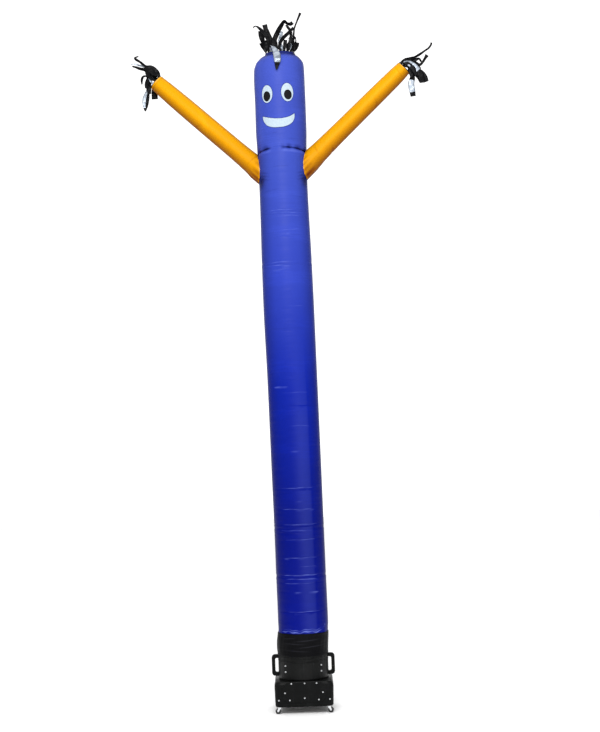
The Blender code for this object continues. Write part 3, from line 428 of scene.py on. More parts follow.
def tubeObject(name, grid, round_, along, material, thickness, tone):
    # grid: rows x sides x 3, tone: rows x sides. The seam column is doubled, so that the cloth map
    # has a clean edge.
    rows, sides = grid.shape[:2]
    wide = np.concatenate([grid, grid[:, :1]], axis=1)
    u = np.broadcast_to(round_, (rows, sides + 1))
    v = np.broadcast_to(np.asarray(along)[:, None], (rows, sides + 1))
    uvs = np.stack([u, v], axis=-1).reshape(-1, 2)
    made = clothObject(name, wide.reshape(-1, 3), quads(rows, sides + 1), uvs, [material])
    tone = np.broadcast_to(tone, (rows, sides))
    tone = np.clip(np.concatenate([tone, tone[:, :1]], axis=1), -1.0, 1.0)
    layer = made.data.attributes.new("paintedShading", "FLOAT", "POINT")
    layer.data.foreach_set("value", tone.astype(np.float32).ravel())
    applyModifier(made, "WELD", merge_threshold=0.00001)
    applyModifier(made, "SOLIDIFY", thickness=thickness, offset=-1.0, use_even_offset=False)
    return made


# The body sleeve.
sleeve = {
    "table": (  # height, middle's x, radius
        (0.7003, 0.0118, 0.2290), (0.760, 0.0140, 0.2275), (1.232, 0.0090, 0.2266), (1.667, 0.0053, 0.2260),
        (2.104, -0.0003, 0.2272), (2.980, -0.0111, 0.2283), (3.631, -0.0222, 0.2320), (4.072, -0.0270, 0.2295),
        (4.515, -0.0318, 0.2234), (4.737, -0.0346, 0.2217), (4.900, -0.0360, 0.2245), (5.116, -0.0379, 0.2280),
        (5.283, -0.0384, 0.2335), (5.506, -0.0385, 0.2330), (5.729, -0.0410, 0.2336), (5.830, -0.0405, 0.2315),
        (5.893, -0.0350, 0.2220), (5.930, -0.0310, 0.1970), (5.953, -0.0280, 0.1710), (5.966, -0.0264, 0.1450),
        (5.982, -0.0264, 0.1430),
    ),
    "shines": (  # painted highlights along crease crests: height, middle angle, half length in degrees, strength, half height in mm, tilt in mm
        (4.516, -10, 34, 0.50, 4, 4), (4.490, 4, 40, 0.45, 4, -3), (4.462, 10, 36, 0.35, 4, 3),
        (4.335, 16, 22, 0.35, 4, 3),
        (4.296, 20, 20, 0.35, 4, -2), (4.040, -24, 44, 0.40, 4, 4), (4.012, -28, 42, 0.50, 4, -3),
        (3.975, -14, 26, 0.30, 4, 3),
        (3.668, 30, 30, 0.35, 4, 2), (3.640, 22, 24, 0.25, 4, -2), (2.915, -34, 24, 0.60, 4, 1),
        (2.860, 10, 40, 0.20, 4, 2),
        (2.560, 20, 36, 0.22, 4, -3), (2.330, -20, 40, 0.24, 4, 3), (2.003, 0, 56, 0.40, 4, 3),
        (1.880, 22, 34, 0.24, 4, -2),
        (1.812, -6, 60, 0.36, 4, -4), (1.676, 6, 66, 0.42, 4, 3), (1.622, -16, 52, 0.38, 4, -3),
        (1.540, 12, 56, 0.34, 4, 2),
        (1.377, -8, 64, 0.40, 4, 3), (1.300, 26, 30, 0.24, 4, -2), (1.223, 2, 72, 0.62, 5, 3),
        (1.187, 10, 62, 0.50, 4, -3),
        (1.150, -18, 50, 0.36, 4, 2), (1.070, 8, 66, 0.40, 4, 3), (0.898, 14, 56, 0.44, 4, 4),
        (0.880, -14, 50, 0.36, 4, -3),
    ),
    "shades": (  # painted shade in creases, the same columns
        (5.214, -22, 20, 0.45, 5, 6), (5.196, 12, 26, 0.30, 5, -4), (5.150, 32, 22, 0.30, 5, 6),
        (4.912, -8, 30, 0.35, 5, 5),
        (4.700, -30, 26, 0.25, 6, 8), (4.640, 34, 24, 0.25, 6, -8), (4.500, 20, 60, 0.22, 7, 3),
        (4.026, -10, 70, 0.26, 7, 3),
        (3.440, -20, 60, 0.16, 8, 4), (2.740, 20, 60, 0.18, 8, -4), (1.990, 10, 70, 0.25, 7, 3),
        (1.660, -10, 70, 0.25, 7, -3),
        (1.205, 0, 80, 0.30, 7, 3), (0.888, 0, 80, 0.25, 6, 3),
    ),
    "sides": 104,
    "rowSteps": (0.0042, 0.0085, 0.020),  # metres between rows: at creases, at hollows, on plain cloth
    "mapRadius": 0.2283,  # metres, turns degrees into the cloth map's metres
    "shoulder": 5.052,    # metres up, the crease under the head
    "armRoot": 4.83,      # metres up, the lower side of the arms' roots
    "thickness": 0.0012,
    "pleats": (  # height, middle angle, half length in degrees, depth in mm, half height in mm, tilt in mm
        (4.515, 10, 75, 3.2, 11, 6), (4.478, -20, 60, 2.4, 9, -5), (4.442, 25, 55, 2.2, 9, 4),
        (4.312, -10, 80, 2.6, 10, 5), (4.268, 20, 60, 2.2, 9, -4),
        (4.050, 0, 180, 1.8, 20, 0), (4.010, 15, 70, 2.6, 9, 6), (3.972, -25, 50, 2.0, 8, -4),
        (3.700, 30, 55, 1.8, 9, 5), (3.420, -20, 60, 1.6, 9, -5), (3.060, 10, 70, 1.8, 10, 5),
        (2.700, -25, 60, 1.8, 9, 4), (2.380, 20, 70, 1.8, 9, -5),
        (2.003, 5, 85, 2.6, 10, 5), (1.812, -10, 80, 2.6, 10, -4), (1.676, 10, 90, 3.0, 10, 4),
        (1.642, 0, 180, 1.8, 20, 0), (1.600, -20, 70, 2.6, 9, -5), (1.540, 15, 80, 2.4, 9, 4),
        (1.377, -5, 85, 2.6, 10, 5), (1.223, 10, 85, 3.4, 10, 3), (1.196, -15, 75, 3.0, 9, -4),
        (1.212, 0, 180, 2.6, 20, 0), (1.150, 20, 70, 2.6, 9, 4), (1.070, -10, 80, 2.4, 10, -5),
        (0.898, 5, 90, 3.0, 10, 4), (0.878, -25, 70, 2.6, 9, -4),
    ),
}
sleeveRadius = smoothTable(sleeve["table"], 2)
sleeveMiddle = smoothTable(sleeve["table"], 1)
pleatRandom = random.Random(11)
faintRanges = ((0.80, 4.90), (-180, 180), (25, 90), (0.4, 1.1), (7, 14), (-9, 9))
# slight creases that no eye would place one by one
faintPleats = [[pleatRandom.uniform(low, high) for low, high in faintRanges] for number in range(36)]


def shoulderShare(angle):  # how deep the shoulder's crease is cut at each angle, with a gap left of the middle
    right = fade(angle, -3.0, 10.0) * fade(angle, 84.0, -12.0)
    left = fade(angle, -24.0, -10.0) * fade(angle, -76.0, 12.0)
    return right + left


def puckers(angle):  # small uneven gathers round the shoulder
    return gathers(np.radians(angle * 17.0) + 1.5 * np.sin(np.radians(angle * 4.0)))


def sleevePaintedShading(height, angle):
    # Painted light and shade on the sleeve's cloth: -1 is the painted shade of a deep crease, 1 the painted highlight
    # of a shining crest.
    height, angle = np.broadcast_arrays(np.asarray(height, float), np.asarray(angle, float))
    tone = np.zeros(height.shape)
    # painted highlights along the listed crests and painted shade in the listed creases, broken along their length
    for table, sign in (("shines", 1.0), ("shades", -1.0)):
        for at, middle, half, strength, tall, tilt in sleeve[table]:
            off = wrapped(angle - middle)
            level = at + tilt / 1000 * off / half + 0.0015 * np.sin(np.radians(off * 9 + at * 900))
            broken = np.sin(np.radians(angle * 11 + at * 2900)) * np.sin(np.radians(angle * 4.3 + at * 1800))
            broken = 0.62 + 0.38 * broken
            tone += sign * strength * broken * np.sqrt(hump(off, half)) * hump(height - level, tall / 1000)
    # painted shade in the shoulder's crease and among its puckers, with a painted highlight just below the crease
    share = shoulderShare(angle)
    pucker = puckers(angle)
    tone -= (0.70 + 0.25 * pucker) * share * hump(height - sleeve["shoulder"], 0.010)
    tone -= 0.50 * share * pucker * hump(height - 5.060, 0.040)
    tone += 0.30 * share * hump(height - 5.028, 0.012)
    # painted shade in the hollows under the arms' roots and along slanted pulls that run into them
    for side in (-1.0, 1.0):
        tone -= 0.60 * hump(wrapped(angle - side * 66.0), 24.0) * hump(height - 4.79, 0.10)
        for step in (-1, 0, 1):
            line = sleeve["armRoot"] + step * 0.030 + side * 0.0009 * (angle - side * 45.0)
            tone -= 0.30 * hump(wrapped(angle - side * 50.0), 22.0) * hump(height - line, 0.010)
    # painted shade where the crown and the tube's sides turn away from the light, the sides less on the head; a
    # painted highlight on the head's left side, and a faint painted sheen right of the middle low on the sleeve
    away = 90.0 - np.abs(np.abs(wrapped(angle)) - 90.0)
    tone -= 0.80 * fade(height, 5.925, 0.030)
    tone -= 0.60 * hump(height - 5.925, 0.045) * fade(away, 30.0, 40.0)
    head = fade(height, 5.00, 0.15)
    tone -= (0.48 - 0.20 * head) * fade(away, 30.0, 45.0) ** 1.2
    tone += 0.20 * head * hump(wrapped(angle + 60.0), 28.0)
    tone += 0.06 * fade(height, 3.4, -0.8) * hump(wrapped(angle - 20.0), 34.0)
    # the gathers above the cuff, which shine along a ragged line that climbs to the right
    ragged = 0.716 + 0.006 * np.sin(np.radians(angle * 7)) + 0.004 * np.sin(np.radians(angle * 19 + 40))
    ragged += 0.075 * fade(angle, 30.0, 45.0) ** 1.5
    ripple = 0.65 + 0.35 * np.sin(np.radians(angle * 13))
    near = 0.4 + 0.6 * hump(wrapped(angle - 10.0), 130.0)
    tone += 1.00 * ripple * near * hump(height - ragged, 0.007)
    tone += 0.45 * ripple * near * hump(height - ragged - 0.018, 0.006)
    return tone


def sleeveShape(height, angle, outwards=0.0):
    # Points of the sleeve's outer face at heights and angles in degrees, 0 in front and growing to +X.
    height, angle = np.broadcast_arrays(np.asarray(height, float), np.asarray(angle, float))
    turn = np.radians(angle)
    radius = sleeveRadius(height)
    for at, middle, half, depth, tall, tilt in list(sleeve["pleats"]) + faintPleats:
        near = np.abs(height - at) < 0.06
        if not near.any():
            continue
        off = wrapped(angle - middle)
        level = at + tilt / 1000 * off / 60.0 + 0.002 * np.sin(np.radians(off * 5 + at * 900))
        spread = np.ones_like(off) if half >= 180 else hump(off, half)
        # each is a trough with a low crest under it
        radius -= depth / 1000 * spread * hump(height - level, tall / 1000)
        radius += 0.45 * depth / 1000 * spread * hump(height - level + tall * 0.0013, tall / 1000)
    # the shoulder's crease, deeper at the sides
    nearSide = np.abs(np.sin(turn + math.radians(6.0)))
    lift = 0.034 * np.cos(turn)
    crease = sleeve["shoulder"]
    radius -= 0.0105 * (0.25 + 0.75 * nearSide) * hump(height - crease, 0.020)
    radius -= 0.0060 * shoulderShare(angle) * hump(height - crease, 0.009)
    # small puckers that fan out above and below the crease
    radius -= 0.0030 * puckers(angle) * (0.3 + 0.7 * nearSide) * hump(height - crease, 0.055)
    # gathers at the cuff seam and at the crown
    cuffFade = 1.0 - fade(height, 0.70, 0.085)
    radius -= 0.0040 * cuffFade * gathers(9 * turn + 0.6 * np.sin(3 * turn))
    radius -= 0.0022 * cuffFade * gathers(23 * turn + 1.1 * np.sin(5 * turn))
    crownFade = fade(height, 5.85, 0.06)
    radius -= 0.0040 * crownFade * gathers(9 * turn + 0.8)
    radius -= 0.0020 * crownFade * gathers(25 * turn)
    # hollows where the arms pull at the body
    for side in (-1.0, 1.0):
        dent = hump(wrapped(angle - side * 62.0), 26.0) * hump(height - 4.81, 0.075)
        radius -= 0.010 * dent
        for step in (-1, 0, 1):
            line = sleeve["armRoot"] + step * 0.030 + side * 0.0009 * (angle - side * 45.0)
            radius -= 0.0030 * hump(wrapped(angle - side * 48.0), 24.0) * hump(height - line, 0.011)
    raised = height + lift * np.where((height > 4.98) & (height < 5.25), 1.0, 0.0) * hump(height - 5.07, 0.17)
    radius += outwards
    middle = sleeveMiddle(height)
    return np.stack([middle + radius * np.sin(turn), -radius * np.cos(turn), raised], axis=-1)


def rowHeights():  # rows close together where the cloth creases and wide apart elsewhere
    closeStep, nearStep, wideStep = sleeve["rowSteps"]
    rows = [sleeve["table"][0][0]]
    busy = [p[0] for table in ("pleats", "shines", "shades") for p in sleeve[table]]
    top = sleeve["table"][-1][0]
    while rows[-1] < top:
        at = rows[-1]
        nearest = min(abs(at - b) for b in busy)
        step = closeStep if nearest < 0.011 else wideStep
        if at < 0.76 or 5.035 < at < 5.065:
            step = closeStep
        elif 4.74 < at < 4.90 or 5.00 < at < 5.12 or at > 5.84:
            step = min(step, nearStep)
        rows.append(min(at + step, top))
    return np.array(rows)


heights = rowHeights()
angles = np.linspace(-180.0, 180.0, sleeve["sides"], endpoint=False)
grid = sleeveShape(heights[:, None], angles[None, :])
roundMetres = np.radians(np.append(angles, 180.0)) * sleeve["mapRadius"]
tone = sleevePaintedShading(heights[:, None], angles[None, :])
bodySleeve = tubeObject("bodySleeve", grid, roundMetres, heights, blueCloth, sleeve["thickness"], tone)
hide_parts("body_tube")
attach(bodySleeve, mainBody)
print("body sleeve made,", len(heights), "rows")

# The arms.
arms = {
    "left": {
        "table": (  # x, y, z, radius from inside the body to the hand
            (-0.105, 0.010, 4.790, 0.1070), (-0.251, 0.026, 4.926, 0.1070), (-0.300, 0.031, 4.972, 0.0985),
            (-0.350, 0.037, 5.018, 0.0935), (-0.480, 0.052, 5.138, 0.0885), (-0.700, 0.077, 5.341, 0.0870),
            (-0.920, 0.102, 5.545, 0.0850), (-1.090, 0.121, 5.703, 0.0800), (-1.180, 0.131, 5.787, 0.0745),
        ),
        "folds": (  # place in rows, angle, half length in degrees, depth in mm, half width in rows
            (2.4, 150, 70, 3.5, 0.16), (2.9, 60, 60, 2.4, 0.14), (3.4, -60, 70, 2.4, 0.10),
            (4.2, 30, 60, 1.6, 0.06), (5.3, -120, 60, 1.4, 0.06), (6.3, 80, 60, 1.6, 0.07), (7.2, -30, 80, 2.0, 0.10),
        ),
    },
    "right": {
        "table": (
            (0.030, -0.008, 4.805, 0.1030), (0.186, -0.026, 4.951, 0.1030), (0.240, -0.032, 5.001, 0.0985),
            (0.290, -0.038, 5.047, 0.0920), (0.440, -0.055, 5.185, 0.0850), (0.660, -0.080, 5.386, 0.0815),
            (0.880, -0.105, 5.587, 0.0790), (1.040, -0.123, 5.733, 0.0745), (1.098, -0.130, 5.787, 0.0690),
        ),
        "folds": (
            (2.5, 120, 70, 3.0, 0.16), (3.1, 20, 60, 2.4, 0.12), (3.6, -90, 70, 2.2, 0.10),
            (4.6, 60, 60, 1.6, 0.06), (5.6, -60, 60, 1.4, 0.06), (6.5, 100, 70, 1.8, 0.08), (7.2, 0, 80, 2.0, 0.10),
        ),
    },
    "sides": 64,
    "rows": 190,
    "gap": 0.0006,  # metres between the body's cloth and the arm's edge
    "mapRadius": 0.086,
    "thickness": 0.0012,
}


def armGathers(angle):  # the gathers where the arm is sewn to the body
    return gathers(np.radians(angle * 13) + 1.2 * np.sin(np.radians(angle * 3)))


def armShape(arm, position, angle):
    # Points of an arm's outer face at positions counted in rows of its table, and angles in degrees.
    position, angle = np.broadcast_arrays(np.asarray(position, float), np.asarray(angle, float))
    table = arms[arm]["table"]
    counted = [(k,) + row for k, row in enumerate(table)]
    middle = np.stack([smoothTable(counted, c)(position) for c in (1, 2, 3)], axis=-1)
    radius = smoothTable(counted, 4)(position)
    for at, turn, half, depth, width in arms[arm]["folds"]:
        off = wrapped(angle - turn)
        radius = radius - depth / 1000 * hump(off, half) * hump(position - at - off / 400.0, width)
    # gathers where the arm is sewn to the body and where its end is hemmed
    rootFade = 1.0 - fade(position, 1.2, 1.6)
    radius = radius - 0.0045 * rootFade * armGathers(angle)
    endFade = fade(position, 7.2, 0.8)
    radius = radius - 0.0028 * endFade * gathers(np.radians(angle * 11))
    # the hem: a doubled edge 14 mm wide, with its stitched line
    hem = fade(position, 7.86, 0.02)
    radius = radius + 0.0010 * hem - 0.0016 * hump(position - 7.86, 0.03)
    start, end = Vector(table[0][:3]), Vector(table[-1][:3])
    direction = (end - start).normalized()
    across = direction.cross(Vector((0.0, 0.0, 1.0))).normalized()
    upright = across.cross(direction).normalized()
    turn = np.radians(angle)
    spoke = np.cos(turn)[..., None] * np.array(across) + np.sin(turn)[..., None] * np.array(upright)
    return middle + radius[..., None] * spoke


def armStart(arm, angle):  # where each line along the arm comes out of the body's cloth
    low, high = np.full(angle.shape, 0.3), np.full(angle.shape, 3.5)
    for step in range(26):
        half = (low + high) / 2
        spot = armShape(arm, half, angle)
        reach = np.hypot(spot[..., 0] - sleeveMiddle(spot[..., 2]), spot[..., 1])
        inside = reach < sleeveRadius(spot[..., 2]) + arms["gap"]
        low, high = np.where(inside, half, low), np.where(inside, high, half)
    return high


def armPaintedShading(position, share, angle, folds):
    # painted shade in the arm's folds and in the gathers at its root, painted shade on its upper and lower sides, the
    # pale edges where it is sewn and hemmed, and painted shade in the hem's sunk stitch line
    upwards = np.sin(np.radians(angle))
    tone = -0.80 * np.clip(-0.10 - upwards, 0.0, 1.0) / 0.90
    tone = tone - 0.60 * fade(upwards, 0.70, 0.30) ** 1.5
    for at, turn, half, depth, width in folds:
        off = wrapped(angle - turn)
        tone = tone - 0.10 * depth * hump(off, half) * hump(position - at - off / 400.0, width * 0.8)
    tone = tone - 0.45 * armGathers(angle) * (1.0 - fade(share, 0.0, 0.14))
    tone = tone + 0.45 * (1.0 - fade(share, 0.0, 0.012))
    return tone + 0.12 * fade(position, 7.90, 0.02) - 0.35 * hump(position - 7.84, 0.04)


for arm in ("left", "right"):
    sides, rows = arms["sides"], arms["rows"]
    angles = np.linspace(0.0, 360.0, sides, endpoint=False)
    start = armStart(arm, angles)
    end = len(arms[arm]["table"]) - 1
    share = np.linspace(0.0, 1.0, rows)[:, None]
    position = start[None, :] + (end - start[None, :]) * share
    grid = armShape(arm, position, angles[None, :])
    length = np.concatenate(
        ([0.0], np.cumsum(np.linalg.norm(np.diff(grid.mean(axis=1), axis=0), axis=1)))
    )
    made = tubeObject(
        arm + "Arm",
        grid,
        np.radians(np.append(angles, 360.0)) * arms["mapRadius"],
        length,
        orangeCloth,
        arms["thickness"],
        armPaintedShading(position, share, angles[None, :], arms[arm]["folds"]),
    )
    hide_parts("arm_" + arm)
    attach(made, mainBody)
print("arms made")

# The cuff, drawn down over the drum.
cuff = {
    "table": (
        (0.5000, 0.0035, 0.2294), (0.5600, 0.0020, 0.2328), (0.6180, 0.0041, 0.2344),
        (0.6600, 0.0080, 0.2336), (0.6997, 0.0118, 0.2300),
    ),
    "sides": 144,
    "rows": 90,
    "mapRadius": 0.232,
    "thickness": 0.0016,
}
cuffRadius = smoothTable(cuff["table"], 2)
cuffMiddle = smoothTable(cuff["table"], 1)


def cuffShape(height, angle):
    height, angle = np.broadcast_arrays(np.asarray(height, float), np.asarray(angle, float))
    turn = np.radians(angle)
    radius = cuffRadius(height)
    # vertical gathers, flat at the two hems
    body = fade(height, 0.515, 0.03) * fade(height, 0.690, -0.02)
    radius -= 0.0026 * body * gathers(14 * turn + 1.4 * np.sin(4 * turn) + 9.0 * height)
    radius -= 0.0014 * body * gathers(31 * turn + 1.0 * np.sin(3 * turn) - 14.0 * height)
    # the two hems, each a doubled edge with a sunk line of stitches
    for line in (0.522, 0.681):
        radius -= 0.0012 * hump(height - line, 0.004)
    middle = cuffMiddle(height)
    return np.stack([middle + radius * np.sin(turn), -radius * np.cos(turn), height], axis=-1)


def cuffTone(height, angle):  # light on the crests of the cuff's slack folds
    tone = 0.0 * height * angle
    for at, middle, half, strength, tilt in (
        (0.640, 10, 40, 0.8, 10), (0.612, -20, 36, 0.6, -8), (0.585, 20, 44, 0.7, 12),
        (0.548, -12, 40, 0.5, -10), (0.660, -34, 24, 0.5, 6),
    ):
        off = wrapped(angle - middle)
        tone += strength * hump(off, half) * hump(height - at - tilt / 1000 * off / half, 0.007)
    return tone


cuffHeights = np.linspace(cuff["table"][0][0], cuff["table"][-1][0], cuff["rows"])
cuffAngles = np.linspace(-180.0, 180.0, cuff["sides"], endpoint=False)
baseCuff = tubeObject(
    "baseCuff",
    cuffShape(cuffHeights[:, None], cuffAngles[None, :]),
    np.radians(np.append(cuffAngles, 180.0)) * cuff["mapRadius"],
    cuffHeights,
    blackCloth,
    cuff["thickness"],
    cuffTone(cuffHeights[:, None], cuffAngles[None, :]),
)
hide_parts("base_cuff")
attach(baseCuff, mainBody)
print("cuff made")

# The face: sewn-on patches with a satin-stitched edge.
face = {
    "lift": 0.0012,        # metres from the sleeve's face to the patch's
    "thickness": 0.0007,
    "eyes": {
        "leftEye": (-30.0, 5.5755, 13.9, 0.0825),  # angle, height, half width in degrees, half height
        "rightEye": (17.3, 5.5830, 14.5, 0.0855),
    },
    "pupils": {
        "leftPupil": (-30.4, 5.5550, 8.7, 0.0460),
        "rightPupil": (18.2, 5.5610, 9.1, 0.0450),
    },
    "mouth": (  # angle, low edge, high edge
        (-43.6, 5.3520, 5.3790), (-40.0, 5.3220, 5.3745), (-35.0, 5.2970, 5.3680), (-30.0, 5.2820, 5.3625),
        (-20.0, 5.2670, 5.3530), (-10.0, 5.2620, 5.3470), (0.0, 5.2630, 5.3465), (10.0, 5.2700, 5.3520),
        (20.0, 5.2870, 5.3650), (26.0, 5.3060, 5.3780), (30.0, 5.3270, 5.3880), (33.2, 5.3600, 5.3960),
    ),
    "stitchWide": 0.0022,  # metres, half width of the satin stitch
    "stitchStep": 0.0045,  # metres between two thread groups
    "mapRadius": 0.233,
    "flatRadius": 0.234,   # metres, the sleeve's radius under the patches
}
perDegree = math.radians(1.0) * face["mapRadius"]  # metres along the sleeve for each degree


def patchObject(name, outline, lift, material, nodeName):
    # outline: angle and height of each corner round the patch; rings of it shrink to the middle.
    middle = outline.mean(axis=0)
    count, rings = len(outline), 14
    spots, uvs = [], []
    for ring in range(rings):
        here = middle + (outline - middle) * (1.0 - ring / rings)
        spots.append(sleeveShape(here[:, 1], here[:, 0], lift))
        uvs.append(np.stack([np.radians(here[:, 0]) * face["mapRadius"], here[:, 1]], axis=-1))
    spots.append(sleeveShape(middle[1], middle[0], lift)[None, :])
    uvs.append(np.array([[math.radians(middle[0]) * face["mapRadius"], middle[1]]]))
    last = (rings - 1) * count
    faces = quads(rings, count, roundColumns=True)
    faces += [(last + k, last + (k + 1) % count, last + count) for k in range(count)]
    made = clothObject(name, np.concatenate(spots), faces, np.concatenate(uvs), [material])
    applyModifier(made, "SOLIDIFY", thickness=face["thickness"], offset=1.0)
    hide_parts(nodeName)
    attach(made, mainBody)
    return made


def ovalOutline(angle, height, wide, tall, count=72):
    turn = np.linspace(0.0, 2 * np.pi, count, endpoint=False)
    return np.stack([angle + wide * np.cos(turn), height + tall * np.sin(turn)], axis=-1)


def stitchRing(name, outline):
    # a low ridge of satin stitch that covers the patch's edge, with a tooth at each thread group
    outline, lift = denser(outline, face["stitchStep"]), face["lift"] + face["thickness"]
    count = len(outline)
    after, before = np.roll(outline, -1, axis=0), np.roll(outline, 1, axis=0)
    along = (after - before) * np.array([perDegree, 1.0])
    along /= np.linalg.norm(along, axis=1)[:, None]
    out = np.stack([along[:, 1], -along[:, 0]], axis=-1) / np.array([perDegree, 1.0])
    half = face["stitchWide"] * (1.0 + 0.16 * np.where(np.arange(count) % 2 == 0, 1.0, -1.0))
    spots, uvs = [], []
    profile = ((-1.0, -0.0003), (-0.6, 0.0009), (0.0, 0.0013), (0.6, 0.0009), (1.0, -0.0009))
    for side, high in profile:
        here = outline + out * (side * half)[:, None]
        spots.append(sleeveShape(here[:, 1], here[:, 0], lift + high))
        uvs.append(np.stack([np.arange(count) * 0.004, np.full(count, side * 0.003)], axis=-1))
    faces = quads(len(profile), count, True, True)
    made = clothObject(name, np.concatenate(spots), faces, np.concatenate(uvs), [blueThread])
    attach(made, mainBody)


def denser(outline, spacing):  # the outline walked again in equal steps, metres
    ring = np.concatenate([outline, outline[:1]])
    size = np.diff(ring, axis=0) * np.array([perDegree, 1.0])
    length = np.concatenate(([0.0], np.cumsum(np.linalg.norm(size, axis=1))))
    count = int(length[-1] / spacing) // 2 * 2
    at = np.linspace(0.0, length[-1], count, endpoint=False)
    return np.stack([np.interp(at, length, ring[:, c]) for c in (0, 1)], axis=-1)


for group, material, slotName, lift in (
    ("eyes", whitePatch, "white_nylon", face["lift"]),
    ("pupils", blackPatch, "pupil_nylon", face["lift"] + face["thickness"] + 0.0004),
):
    for name, (angle, height, wide, tall) in face[group].items():
        outline = ovalOutline(angle, height, wide, tall)
        node = ("eye_" if group == "eyes" else "pupil_") + ("left" if name.startswith("left") else "right")
        made = patchObject(name, outline, lift, material, node)
        if group == "eyes":
            stitchRing(name + "Stitch", outline)
mouth = np.array(face["mouth"])
fineAngles = np.linspace(mouth[0, 0], mouth[-1, 0], 60)
lowEdge = smoothTable(face["mouth"], 1)(fineAngles)
highEdge = smoothTable(face["mouth"], 2)(fineAngles)
mouthOutline = np.concatenate(
    [np.stack([fineAngles, lowEdge], axis=-1), np.stack([fineAngles, highEdge], axis=-1)[::-1]]
)


def mouthObject():
    # the smile as columns from its low edge to its high edge
    levels = 10
    share = np.linspace(0.0, 1.0, levels)
    here = lowEdge[:, None] + (highEdge - lowEdge)[:, None] * share[None, :]
    spots = sleeveShape(here, fineAngles[:, None], face["lift"])
    around = np.radians(np.broadcast_to(fineAngles[:, None], here.shape)) * face["mapRadius"]
    uvs = np.stack([around, here], axis=-1)
    faces = [(a, d, c, b) for a, b, c, d in quads(len(fineAngles), levels)]
    made = clothObject("mouth_patch", spots.reshape(-1, 3), faces, uvs.reshape(-1, 2), [whitePatch])
    applyModifier(made, "SOLIDIFY", thickness=face["thickness"], offset=1.0)
    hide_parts("mouth")
    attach(made, mainBody)


mouthObject()
stitchRing("mouthStitch", mouthOutline)
print("face made")

